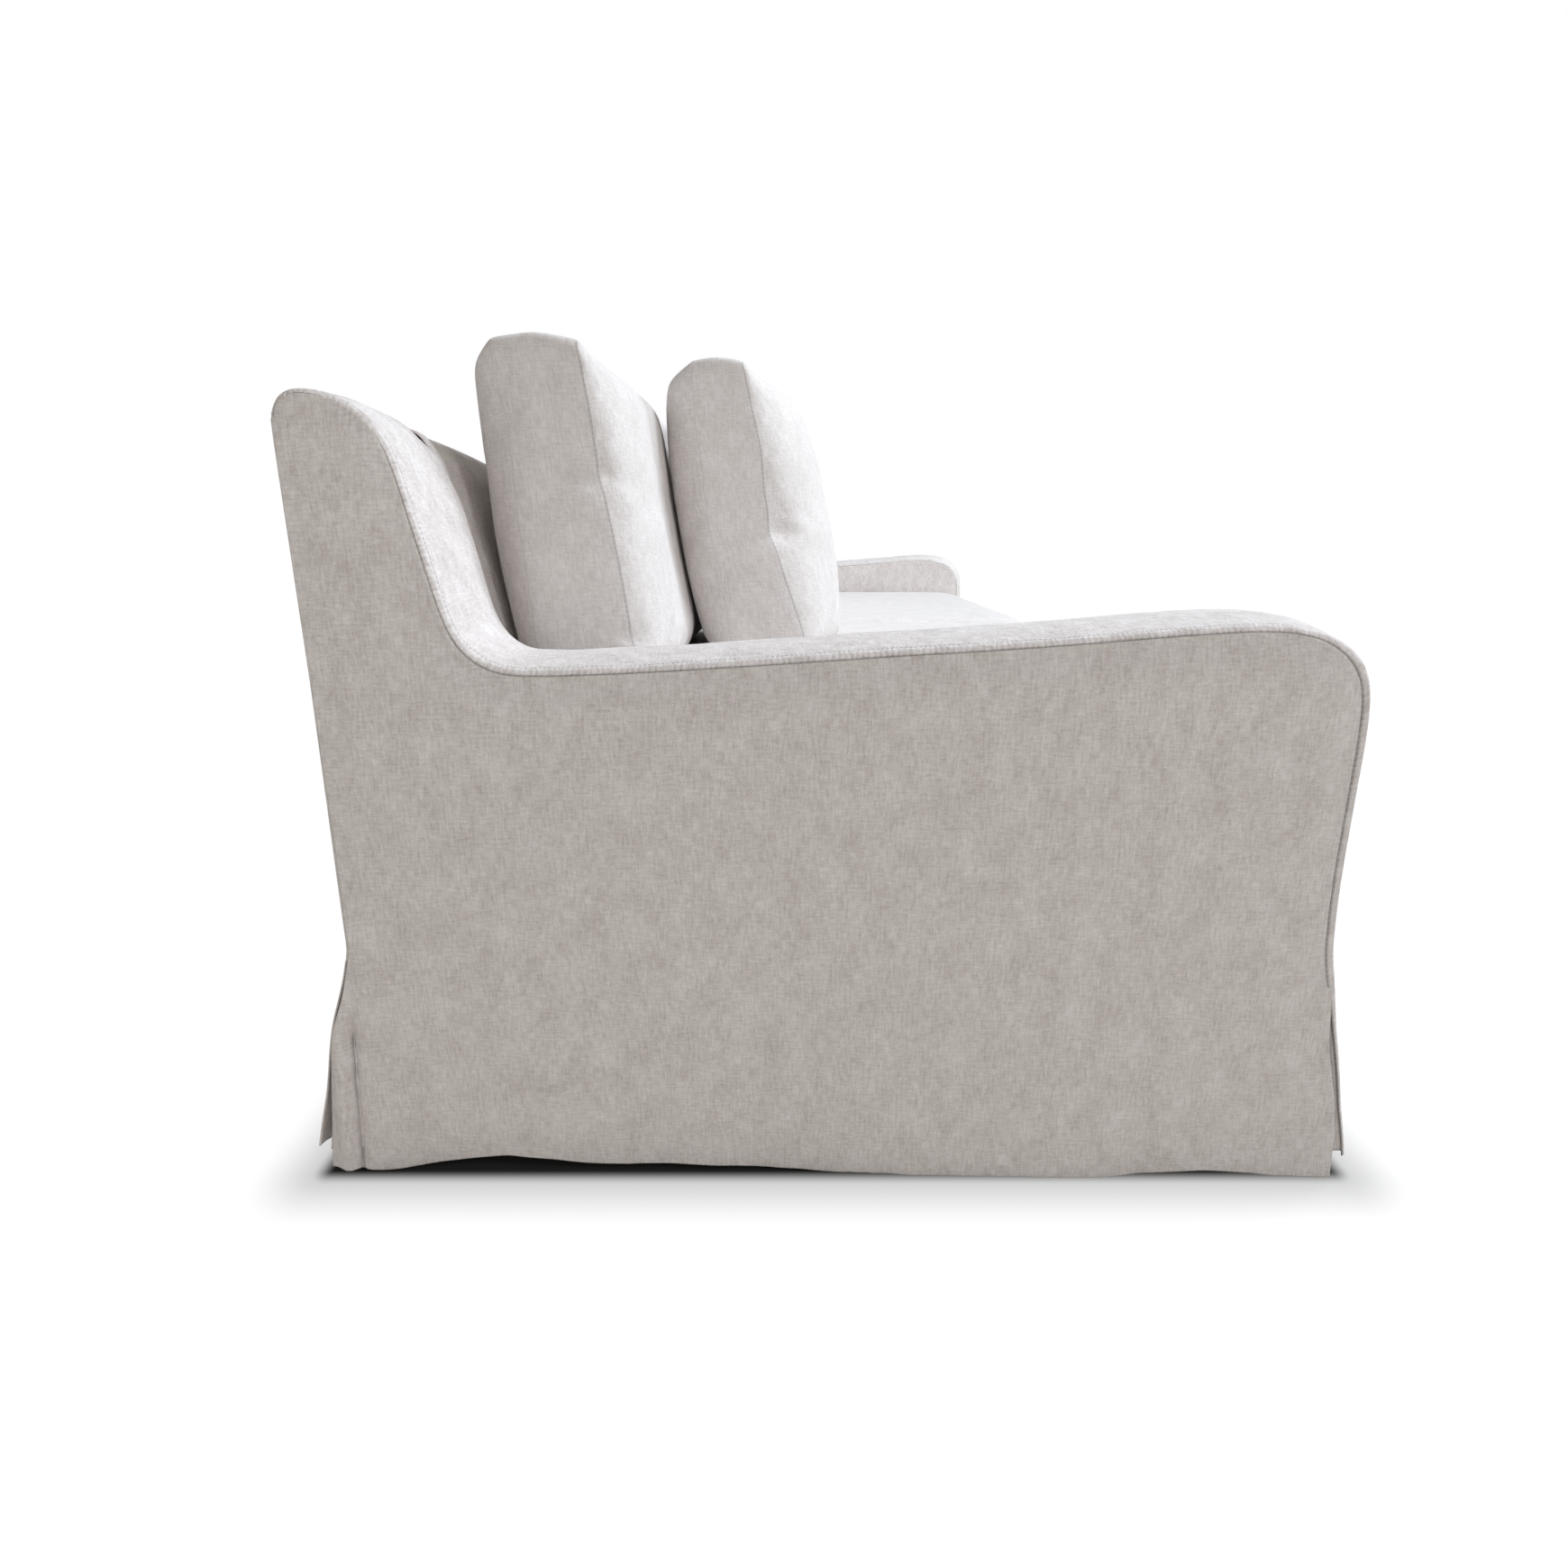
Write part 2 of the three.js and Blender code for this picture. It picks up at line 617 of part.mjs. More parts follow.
function addFrame() {
  addPiece('front_rail', board(-armFrameInside + clearance, armFrameInside - clearance,
    railFront, railFront + railThickness, legHeight, railTop), 'hardwood');
  addPiece('rear_rail', board(-armFrameInside + clearance, armFrameInside - clearance,
    rearFrameFace - railThickness, rearFrameFace, legHeight, railTop), 'hardwood');
  addPiece('centre_rail', board(-railThickness / 2, railThickness / 2,
    railFront + railThickness + clearance, rearFrameFace - railThickness - clearance,
    legHeight, railTop - centreRailDrop), 'hardwood');
  for (const [name, side] of sides) {
    addPiece(`side_rail_${name}`, board(side * armFrameInside,
      side * (armFrameInside + railThickness), frontPostRear + clearance,
      rearPostFront - clearance, legHeight, railTop), 'hardwood');
    addPiece(`front_post_${name}`, armPost(side, railFront, frontPostRear), 'hardwood');
    addPiece(`rear_post_${name}`, armPost(side, rearPostFront, rearFrameFace), 'hardwood');
    addPiece(`arm_top_rail_${name}`, armTopRail(side), 'hardwood');
    addPiece(`corner_block_front_${name}`, cornerBlock(side, -1), 'hardwood');
    addPiece(`corner_block_rear_${name}`, cornerBlock(side, 1), 'hardwood');
  }
  addPiece('back_bottom_rail', rakedSlab(-armFrameInside + clearance, armFrameInside - clearance,
    railTop + backRailRise, railTop + backRailRise + backBottomRailHeight,
    backRailFront, backRailRear), 'hardwood');
  addPiece('back_top_rail', backTopRail(), 'hardwood');
  addPiece('back_centre_post', backCentrePost(), 'hardwood');
}

function addLegs() {
  const frontY = railFront + legTopWidth / 2;
  const rearY = rearFrameFace - legTopWidth / 2;
  for (const [row, y] of [['front', frontY], ['rear', rearY]]) {
    for (const [name, x] of [['left', -armMiddle], ['centre', 0], ['right', armMiddle]]) {
      addPiece(`leg_${row}_${name}`, leg(), 'legWood').position.set(x, y, 0);
    }
  }
}

function addSuspension() {
  const pitch = innerArmFace / springsPerSeat;
  const count = 2 * springsPerSeat;
  for (let i = 0; i < count; i++) {
    const x = (i - (count - 1) / 2) * pitch;
    addPiece(`seat_spring_${i + 1}`, sinuousSpring(), 'springSteel').position.x = x;
  }
  const strapTop = (x) => backTop(x) - armPadInside - wingTopFall - strapWidth / 2;
  for (const i of [-1, 0, 1]) {
    const x = i * strapSpacing;
    addPiece(`back_webbing_${i + 2}`, rakedSlab(x - strapWidth / 2, x + strapWidth / 2,
      railTop + backRailRise, strapTop(strapSpacing),
      strapFront, strapFront + strapThickness), 'webbing');
  }
}

function addPadding() {
  const reach = innerArmFace - clearance;
  addPiece('seat_deck_pad', board(-reach, reach, -frontReach + underCover,
    backPlane(deckPadBottom) - clearance, deckPadBottom, deckPadTop), 'padding');
  addPiece('back_pad', backLayer(underCover, backPadInside, rearFrameFace), 'padding');
  for (const [name, side] of sides) {
    addPiece(`arm_pad_${name}`, armPad(side), 'padding');
  }
}

function addSlipcover() {
  const reach = innerArmFace - clearance;
  addPiece('cover_deck', board(-reach, reach, -frontReach,
    backPlane(deckPadTop) - clearance, deckPadTop + clearance, deckCoverTop), 'slipcover');
  addPiece('cover_front', coverFront(), 'slipcover');
  addPiece('cover_inside_back', backLayer(0, coverThickness, rearSeam), 'slipcover');
  addPiece('cover_outside_back', coverOutsideBack(), 'slipcover');
  for (const [name, side] of sides) {
    addPiece(`cover_side_${name}`, coverSide(side), 'slipcover');
    addPiece(`cover_arm_band_${name}`, coverArmBand(side), 'slipcover');
    addPiece(`cover_inner_arm_${name}`, coverInnerArm(side), 'slipcover');
    addPiece(`kick_pleat_front_${name}`, kickPleat(side, -1), 'slipcover');
    addPiece(`kick_pleat_rear_${name}`, kickPleat(side, 1), 'slipcover');
  }
}

function addSeatCushions() {
  for (const [name, side] of sides) {
    addPiece(`seat_cushion_${name}`, seatCushion(side), 'cushionCover');
  }
}

function addPillows() {
  const rowWidth = innerArmFace - backPillowArmGap;
  const backPillow = {
    width: rowWidth / 2 - cushionGap, height: backPillowHeight, boxing: backPillowBoxing,
    frontCrown: backPillowFrontCrown, backCrown: crownToBack(), lean: backPillowLean,
  };
  const frontPillow = {
    width: frontPillowWidth, height: frontPillowHeight, boxing: frontPillowBoxing,
    frontCrown: frontPillowFrontCrown, backCrown: frontPillowBackCrown, lean: frontPillowLean,
  };
  for (const [name, side] of sides) {
    for (const [place, share] of [['outer', 3 / 4], ['inner', 1 / 4]]) {
      addPiece(`back_pillow_${place}_${name}`, pillow(backPillow), 'cushionCover')
        .position.set(side * rowWidth * share, backPillowFrontReach, pillowBase);
    }
    const x = innerArmFace - frontPillowArmGap - frontPillowWidth / 2;
    addPiece(`front_pillow_${name}`, pillow(frontPillow), 'cushionCover')
      .position.set(side * x, backPillowFrontReach - frontPillowStep, pillowBase);
  }
}

addFrame();
addLegs();
addSuspension();
addPadding();
addSlipcover();
addSeatCushions();
addPillows();

export default sofa;
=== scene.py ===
"""Camelback sofa in a loose linen slipcover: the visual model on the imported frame.

Metres, +Z up. +X runs along the sofa, the front faces -Y, and the origin is on the floor under the
middle. Left is -X, as seen by a person who stands in front. Profiles are in the YZ plane.
"""
import math

import bpy
import numpy as np
from mathutils import Matrix, Vector


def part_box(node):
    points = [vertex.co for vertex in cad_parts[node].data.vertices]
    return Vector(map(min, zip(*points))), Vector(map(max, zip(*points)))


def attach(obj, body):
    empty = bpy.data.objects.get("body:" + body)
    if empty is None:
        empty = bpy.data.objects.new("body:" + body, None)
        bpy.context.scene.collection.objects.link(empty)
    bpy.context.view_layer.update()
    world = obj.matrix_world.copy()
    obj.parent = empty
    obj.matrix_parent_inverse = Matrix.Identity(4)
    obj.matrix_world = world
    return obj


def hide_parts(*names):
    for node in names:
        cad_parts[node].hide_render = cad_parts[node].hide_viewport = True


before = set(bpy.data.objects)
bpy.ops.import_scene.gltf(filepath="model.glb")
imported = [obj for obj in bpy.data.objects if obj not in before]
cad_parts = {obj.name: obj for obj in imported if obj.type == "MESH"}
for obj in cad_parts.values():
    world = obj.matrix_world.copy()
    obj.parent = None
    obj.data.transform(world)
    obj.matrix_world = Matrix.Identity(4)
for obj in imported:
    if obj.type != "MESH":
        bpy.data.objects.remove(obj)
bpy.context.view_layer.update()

SIDES = {"left": -1, "right": 1}

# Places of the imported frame
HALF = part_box("cover_side_right")[1][0]
ARM_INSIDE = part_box("cover_inner_arm_right")[0][0]
REAR = 0.515
FRONT = -0.499
HEM_REACH = 0.565
WING_TOP = 0.810
WING_TOP_FALL = 0.010
DECK_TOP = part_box("cover_deck")[1][2]
DECK_PAD_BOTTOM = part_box("seat_deck_pad")[0][2]
SEAT_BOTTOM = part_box("seat_cushion_right")[0][2]
SEAT_EDGE_TOP = SEAT_BOTTOM + 0.150
PILLOW_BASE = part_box("front_pillow_right")[0][2]
BACK_FOOT = 0.307
RAKE = 0.25707
REAR_SEAM_DROP = 0.013
BACK_DIP, BACK_HUMP, BACK_DIP_SHARE = 0.039, 0.090, 0.45
WING_FALL = 0.009
PILLOW_DENT = 0.012

# Cloth
HEM = 0.008
CLOTH_THICKNESS = 0.0016
SEAM_ALLOWANCE = 0.0095
SEAM_DEPTH = 0.0035
SEAM_HALF_WIDTH = 0.0022
SEAM_ROUNDING = 0.0065
STITCH_PITCH = 0.0046
# Lifts the seam distance of a cushion's rear or lower seams, so the painted shade in their fold is fainter.
REAR_SEAM_FAINTNESS = 0.0012
PUCKER_PITCH = 0.0058

# The line where the side panels meet the arm bands, from the front slit over arm and wing to the rear
SEAM_LINE = [
    (-0.5145, 0.228), (-0.5095, 0.256), (-0.5080, 0.276), (-0.5056, 0.316), (-0.5045, 0.356),
    (-0.5050, 0.431), (-0.5056, 0.485), (-0.5046, 0.518), (-0.5014, 0.544), (-0.4930, 0.563),
    (-0.4770, 0.5800), (-0.4557, 0.5922), (-0.4253, 0.5987), (-0.3907, 0.5996), (-0.3230, 0.5954),
    (-0.2560, 0.5898), (-0.1890, 0.5845), (-0.1210, 0.580), (-0.0530, 0.5762), (0.0150, 0.5715),
    (0.0830, 0.567), (0.1500, 0.5627), (0.2200, 0.559), (0.2720, 0.557), (0.3050, 0.5568),
    (0.3246, 0.5577), (0.3405, 0.562), (0.3562, 0.5715), (0.3700, 0.5870), (0.3772, 0.606),
    (0.3844, 0.632), (0.3898, 0.657), (0.3984, 0.693), (0.4060, 0.728), (0.4146, 0.761),
    (0.4275, 0.7858), (0.4452, 0.7997), (0.4610, 0.8060), (0.4770, 0.8090), (0.4930, 0.8100),
    (0.5035, 0.8062), (0.5100, 0.798), (0.5115, 0.788),
]
NOSE = (-0.4770, 0.5800)
CREST = (0.5035, 0.8062)
NOSE_FULLNESS = 0.0075
BAND_ROLL, BAND_ROLL_WIDTH = 0.0082, 0.012
FRONT_SLIT_EDGE = [(-0.5440, 0.005), (-0.5430, 0.029), (-0.5418, 0.061), (-0.5364, 0.095),
                   (-0.5292, 0.129), (-0.5218, 0.161), (-0.5180, 0.200)]
REAR_SLIT_EDGE = [(0.5585, HEM), (0.5546, 0.044), (0.5494, 0.084), (0.5445, 0.118), (0.5387, 0.151),
                  (0.5333, 0.178), (0.5186, 0.225), (0.5116, 0.251), (0.5070, 0.270), (0.5065, 0.400)]
REAR_FOLD = [(0.5260, 0.0), (0.5239, 0.044), (0.5223, 0.073), (0.5211, 0.107), (0.5189, 0.140),
             (0.5172, 0.172), (0.5125, 0.221)]
REAR_FLARE = [(0.5650, HEM), (0.5560, 0.070), (0.5330, 0.183), (REAR, 0.270), (REAR, 0.500)]
CORNER_FLARE = [(0.5735, HEM), (0.5700, 0.035), (0.5640, 0.060), (0.5590, 0.080), (0.5530, 0.100),
                (0.5380, 0.178), (0.5200, 0.232),
                (0.5085, 0.275), (0.5080, 0.500)]
CORNER_LIFT = 0.026
SIDE_HEM = [(-0.545, 0.0015), (-0.503, 0.002), (-0.473, 0.003), (-0.443, 0.005), (-0.410, 0.008),
            (-0.373, 0.006), (-0.323, 0.002), (-0.263, 0.0015), (-0.083, 0.0015), (-0.023, 0.0026),
            (0.037, 0.0045), (0.098, 0.008), (0.188, 0.0115), (0.248, 0.009), (0.278, 0.011),
            (0.306, 0.0165), (0.366, 0.0205), (0.426, 0.0145), (0.458, 0.009), (0.488, 0.002),
            (0.518, 0.0045), (0.537, 0.0080), (0.5585, 0.0095)]
HEM_SWELL = [(-0.56, 0.006), (-0.533, 0.0055), (-0.500, 0.001), (-0.330, 0.0), (-0.293, 0.005),
             (-0.233, 0.009), (-0.172, 0.005), (-0.113, 0.003), (-0.083, 0.004), (0.0, 0.0), (0.56, 0.0)]
BAND_FLARE = [(-0.562, HEM), (-0.5535, 0.060), (-0.5395, 0.130), (-0.5250, 0.190)]


# Lines, fields and meshes

def smooth(t):
    """0 to 1 with level ends, for t from 0 to 1."""
    t = np.clip(t, 0, 1)
    return t * t * (3 - 2 * t)


def shoulder(distance, reach, steepness=0.8):
    """0 at a seam to 1 a little way in."""
    return np.sin(np.pi / 2 * np.clip(distance / reach, 0, 1)) ** steepness


def lengths(line):
    """Distance along a line at each of its points."""
    steps = np.linalg.norm(np.diff(line, axis=0), axis=1)
    return np.concatenate([[0], np.cumsum(steps)])


def spaced(line, count):
    """The line again, with evenly spaced points."""
    line = np.asarray(line, float)
    along = lengths(line)
    at = np.linspace(0, along[-1], count)
    return np.stack([np.interp(at, along, line[:, k]) for k in range(line.shape[1])], axis=1)


def rounded(line, step, blur):
    """Points about a step apart on a line whose corners are rounded over a blur length."""
    line = np.asarray(line, float)
    count = int(lengths(line)[-1] / step) + 2
    fine = spaced(line, count)
    reach = int(3 * blur / step)
    weight = np.exp(-0.5 * (np.arange(-reach, reach + 1) * step / blur) ** 2)
    weight /= weight.sum()
    before = 2 * fine[0] - fine[reach:0:-1]
    after = 2 * fine[-1] - fine[-2:-reach - 2:-1]
    long = np.concatenate([before, fine, after])
    return spaced(np.stack([np.convolve(long[:, k], weight, "valid")
                            for k in range(line.shape[1])], axis=1), count)


def line_through(pairs):
    """A function of height through (Y, height) pairs."""
    y, z = np.array(pairs).T
    return lambda height: np.interp(height, z, y)


def noise(u, v, seed):
    """A smooth field from -1 to 1 with one random value for each unit square's corner."""
    u, v = np.broadcast_arrays(np.asarray(u, float), np.asarray(v, float))
    iu, iv = np.floor(u), np.floor(v)
    fu, fv = smooth(u - iu), smooth(v - iv)

    def corner(a, b):
        wild = np.sin((iu + a) * 127.1 + (iv + b) * 311.7 + seed * 74.7) * 43758.5453
        return 2 * (wild - np.floor(wild)) - 1

    low = corner(0, 0) * (1 - fu) + corner(1, 0) * fu
    high = corner(0, 1) * (1 - fu) + corner(1, 1) * fu
    return low * (1 - fv) + high * fv


def creases(u, v, seed):
    """Soft folds with sharper crests, as in cloth that was washed and put on again."""
    bent_u = u + 0.6 * noise(u * 0.5, v * 0.5, seed + 1)
    bent_v = v + 0.6 * noise(u * 0.5, v * 0.5, seed + 2)
    ridge = 1 - 2 * np.abs(noise(bent_u, bent_v, seed + 3))
    return 0.65 * ridge * (0.6 + 0.4 * noise(u * 0.4, v * 0.4, seed + 4)) + 0.35 * noise(
        2.1 * bent_u, 2.1 * bent_v, seed + 5)


def stations(length, step, edges=()):
    """Shares along a length: evenly spaced, with extra ones at set distances from both ends."""
    edges = np.array(edges)
    inner_start = edges[-1] if len(edges) else 0
    middle = np.linspace(inner_start, length - inner_start,
                         max(2, int((length - 2 * inner_start) / step) + 1))
    start = np.concatenate([[0], edges[:-1]]) if len(edges) else np.array([])
    return np.concatenate([start, middle, length - start[::-1]]) / length


def seam_profile(distance):
    """Height of cloth beside a felled seam: a groove, a low welt and the dent of its topstitching."""
    groove = -SEAM_DEPTH * np.exp(-(distance / SEAM_HALF_WIDTH) ** 2)
    welt = 0.0007 * np.exp(-((distance - 0.0052) / 0.0028) ** 2)
    dent = -0.0006 * np.exp(-((distance - SEAM_ALLOWANCE) / 0.0014) ** 2)
    return groove + welt + dent


def drawn_in(y, z):
    """How far the seam round the arm is drawn in from the side, less at the wing's rear and the slit."""
    return SEAM_ROUNDING * smooth((0.495 - y) / 0.08) * smooth((z - 0.20) / 0.08)


def mesh_object(name, points, faces, cloth, seam):
    """An object with smooth faces; cloth and seam are a pair of numbers for each corner of a face."""
    mesh = bpy.data.meshes.new(name)
    mesh.from_pydata([tuple(p) for p in points], [], [tuple(f) for f in faces])
    for layer_name, values in (("cloth", cloth), ("seam", seam)):
        layer = mesh.uv_layers.new(name=layer_name)
        layer.data.foreach_set("uv", np.asarray(values, np.float32).ravel())
    mesh.polygons.foreach_set("use_smooth", [True] * len(mesh.polygons))
    obj = bpy.data.objects.new(name, mesh)
    bpy.context.collection.objects.link(obj)
    return obj


def grid_faces(rows, columns):
    first = np.arange((rows - 1) * columns).reshape(rows - 1, columns)[:, :-1].ravel()
    return np.stack([first, first + 1, first + columns + 1, first + columns], axis=1)


def grid_object(name, points, cloth, seam_distance, seam_run, flip=False):
    """A sheet through rows and columns of points."""
    rows, columns = points.shape[:2]
    faces = grid_faces(rows, columns)
    if flip:
        faces = faces[:, ::-1]
    at_corners = faces.ravel()
    seam = np.stack([seam_distance, seam_run], axis=-1).reshape(-1, 2)
    return mesh_object(f"{name}_linen", points.reshape(-1, 3), faces,
                       cloth.reshape(-1, 2)[at_corners], seam[at_corners])


def add_modifier(obj, kind, **values):
    """Adds a modifier with its settings to an object."""
    modifier = obj.modifiers.new(kind.lower(), kind)
    for key, value in values.items():
        setattr(modifier, key, value)
    return modifier


def finish_sheet(obj, node, material, thickness=CLOTH_THICKNESS):
    """Gives a grid sheet its thickness, body and slot, and hides the CAD node that it replaces."""
    add_modifier(obj, "SOLIDIFY", thickness=thickness, offset=-1)
    obj.data.materials.append(material)
    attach(obj, "frame")
    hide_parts(node)
    return obj


# Materials

def new_material(name):
    """A material with its node tree and shader."""
    material = bpy.data.materials.new(name)
    material.use_nodes = True
    tree = material.node_tree
    return material, tree, tree.nodes["Principled BSDF"]


def node(tree, kind, inputs=(), **settings):
    """A shader node; inputs are (socket, value or output) pairs."""
    made = tree.nodes.new("ShaderNode" + kind)
    for key, value in settings.items():
        setattr(made, key, value)
    for key, value in inputs:
        if isinstance(value, bpy.types.NodeSocket):
            tree.links.new(value, made.inputs[key])
        else:
            made.inputs[key].default_value = value
    return made


def math_node(tree, operation, a, b=0.0, c=0.0):
    return node(tree, "Math", [(0, a), (1, b), (2, c)], operation=operation).outputs[0]


def stretched_noise(tree, vector, scale, detail=2.0, roughness=0.5):
    """Noise from 0 to 1 with its own number of features to the metre along each axis."""
    scaled = node(tree, "VectorMath", [(0, vector), (1, scale)], operation="MULTIPLY").outputs[0]
    return node(tree, "TexNoise", [("Vector", scaled), ("Scale", 1.0), ("Detail", detail),
                                   ("Roughness", roughness)]).outputs["Fac"]


def linen(name, light, dark, topstitch, relief, seam_painted_shade):
    """Washed linen: a plain weave with slubs, soft crumples in a given relief, puckered seams whose
    fold is darkened with painted shade to a given level, and topstitching of a given strength beside
    them, whose holes are darkened with painted shade too."""
    material, tree, shader = new_material(name)
    cloth = node(tree, "UVMap", uv_map="cloth").outputs[0]
    warp = stretched_noise(tree, cloth, (380.0, 60.0, 1.0), 3.0, 0.7)
    weft = stretched_noise(tree, cloth, (80.0, 380.0, 1.0), 3.0, 0.7)
    grain = stretched_noise(tree, cloth, (620.0, 620.0, 1.0), 2.0, 0.7)
    mottle = stretched_noise(tree, cloth, (34.0, 22.0, 1.0), 4.0, 0.6)
    crumple = stretched_noise(tree, cloth, (58.0, 46.0, 1.0), 4.0, 0.55)
    threads = math_node(tree, "ADD", math_node(tree, "MULTIPLY", warp, 0.55),
                        math_node(tree, "MULTIPLY", weft, 0.45))
    woven = math_node(tree, "ADD", math_node(tree, "MULTIPLY", threads, 0.75),
                      math_node(tree, "MULTIPLY", grain, 0.25))
    tone = math_node(tree, "ADD", math_node(tree, "MULTIPLY", woven, 0.8),
                     math_node(tree, "MULTIPLY", mottle, 0.2))
    tone = node(tree, "MapRange", [("Value", tone), ("From Min", 0.40), ("From Max", 0.60)]).outputs[0]
    colour = node(tree, "Mix", [(0, tone), (6, dark), (7, light)], data_type="RGBA").outputs[2]
    height = math_node(tree, "ADD", math_node(tree, "MULTIPLY", woven, 0.0012 * relief),
                       math_node(tree, "MULTIPLY", crumple, 0.0040 * relief))
    seam = node(tree, "SeparateXYZ",
                [(0, node(tree, "UVMap", uv_map="seam").outputs[0])]).outputs
    distance, run = seam[0], seam[1]
    wave = math_node(tree, "SINE", math_node(
        tree, "MULTIPLY_ADD", run, 2 * math.pi / PUCKER_PITCH,
        math_node(tree, "MULTIPLY", mottle, 9.0)))
    near = node(tree, "MapRange", [("Value", math_node(tree, "ABSOLUTE", distance)),
                                   ("From Min", 0.0), ("From Max", SEAM_ALLOWANCE + 0.004),
                                   ("To Min", 1.0), ("To Max", 0.0)],
                interpolation_type="SMOOTHSTEP").outputs[0]
    pucker = math_node(tree, "MULTIPLY", math_node(tree, "MULTIPLY", wave, near),
                       0.00005 + 0.00013 * topstitch)
    off_line = math_node(tree, "ABSOLUTE", math_node(tree, "SUBTRACT", distance, SEAM_ALLOWANCE))
    on_line = node(tree, "MapRange", [("Value", off_line), ("From Min", 0.0003),
                                      ("From Max", 0.0011), ("To Min", 1.0), ("To Max", 0.0)],
                   interpolation_type="SMOOTHSTEP").outputs[0]
    beat = math_node(tree, "SINE", math_node(tree, "MULTIPLY", run, 2 * math.pi / STITCH_PITCH))
    thread = node(tree, "MapRange", [("Value", beat), ("From Min", -0.5), ("From Max", 0.3)]).outputs[0]
    stitch = math_node(tree, "MULTIPLY", on_line, thread)
    hole = math_node(tree, "MULTIPLY", on_line, math_node(tree, "SUBTRACT", 1.0, thread))
    height = math_node(tree, "ADD", height, pucker)
    height = math_node(tree, "MULTIPLY_ADD", stitch, 0.0006 * topstitch, height)
    height = math_node(tree, "MULTIPLY_ADD", hole, -0.0009 * topstitch, height)
    # Painted shade: the colour is darkened in each seam's fold to the given level at its line, varied with the pucker,
    # and in the holes between the stitches.
    fold = node(tree, "MapRange", [("Value", math_node(tree, "ABSOLUTE", distance)),
                                   ("From Min", 0.0004), ("From Max", 0.0021),
                                   ("To Min", math_node(tree, "MULTIPLY_ADD", wave, 0.06, seam_painted_shade)),
                                   ("To Max", 1.0)],
                interpolation_type="SMOOTHSTEP").outputs[0]
    shade = math_node(tree, "MULTIPLY", fold, math_node(tree, "MULTIPLY_ADD", hole, -0.30 * topstitch, 1.0))
    colour = node(tree, "VectorMath", [(0, colour), ("Scale", shade)], operation="SCALE").outputs[0]
    bump = node(tree, "Bump", [("Strength", 0.9), ("Distance", 1.0), ("Height", height)]).outputs[0]
    tree.links.new(colour, shader.inputs["Base Color"])
    tree.links.new(bump, shader.inputs["Normal"])
    shader.inputs["Roughness"].default_value = 0.88
    shader.inputs["Specular IOR Level"].default_value = 0.18
    shader.inputs["Sheen Weight"].default_value = 0.18
    shader.inputs["Sheen Roughness"].default_value = 0.45
    return material


def timber(name, grain_axis, light, dark, roughness):
    """Wood with its grain along one axis."""
    material, tree, shader = new_material(name)
    place = node(tree, "TexCoord").outputs["Object"]
    across = [55.0, 55.0, 55.0]
    across[grain_axis] = 2.2
    fibre = [420.0, 420.0, 420.0]
    fibre[grain_axis] = 9.0
    figure = stretched_noise(tree, place, tuple(across), 3.0, 0.6)
    fibres = stretched_noise(tree, place, tuple(fibre), 2.0, 0.6)
    rings = math_node(tree, "SINE", math_node(tree, "MULTIPLY", figure, 26.0))
    tone = math_node(tree, "ADD", math_node(tree, "MULTIPLY_ADD", rings, 0.22, 0.35),
                     math_node(tree, "MULTIPLY", fibres, 0.4))
    colour = node(tree, "Mix", [(0, tone), (6, dark), (7, light)], data_type="RGBA").outputs[2]
    bump = node(tree, "Bump", [("Strength", 0.35), ("Distance", 0.0006),
                               ("Height", fibres)]).outputs[0]
    tree.links.new(colour, shader.inputs["Base Color"])
    tree.links.new(bump, shader.inputs["Normal"])
    shader.inputs["Roughness"].default_value = roughness
    return material


def spring_steel():
    material, tree, shader = new_material("spring_steel")
    place = node(tree, "TexCoord").outputs["Object"]
    drawn = stretched_noise(tree, place, (900.0, 120.0, 900.0), 2.0)
    rough = node(tree, "MapRange", [("Value", drawn), ("To Min", 0.26), ("To Max", 0.46)]).outputs[0]
    tree.links.new(rough, shader.inputs["Roughness"])
    colour = node(tree, "Mix", [(0, drawn), (6, (0.20, 0.20, 0.21, 1)), (7, (0.42, 0.43, 0.44, 1))],
                  data_type="RGBA").outputs[2]
    tree.links.new(colour, shader.inputs["Base Color"])
    shader.inputs["Metallic"].default_value = 1.0
    return material


def webbing():
    material, tree, shader = new_material("webbing")
    place = node(tree, "TexCoord").outputs["Object"]
    split = node(tree, "SeparateXYZ", [(0, place)]).outputs
    warp = math_node(tree, "SINE", math_node(tree, "MULTIPLY", split[0], 2 * math.pi / 0.0042))
    weft = math_node(tree, "SINE", math_node(tree, "MULTIPLY", split[2], 2 * math.pi / 0.0030))
    woven = math_node(tree, "MULTIPLY", warp, weft)
    fuzz = stretched_noise(tree, place, (700.0, 700.0, 700.0), 2.0)
    tone = math_node(tree, "MULTIPLY_ADD", woven, 0.3, fuzz)
    colour = node(tree, "Mix", [(0, tone), (6, (0.16, 0.11, 0.055, 1)), (7, (0.38, 0.28, 0.16, 1))],
                  data_type="RGBA").outputs[2]
    bump = node(tree, "Bump", [("Strength", 0.6), ("Distance", 0.0008), ("Height", tone)]).outputs[0]
    tree.links.new(colour, shader.inputs["Base Color"])
    tree.links.new(bump, shader.inputs["Normal"])
    shader.inputs["Roughness"].default_value = 0.92
    return material


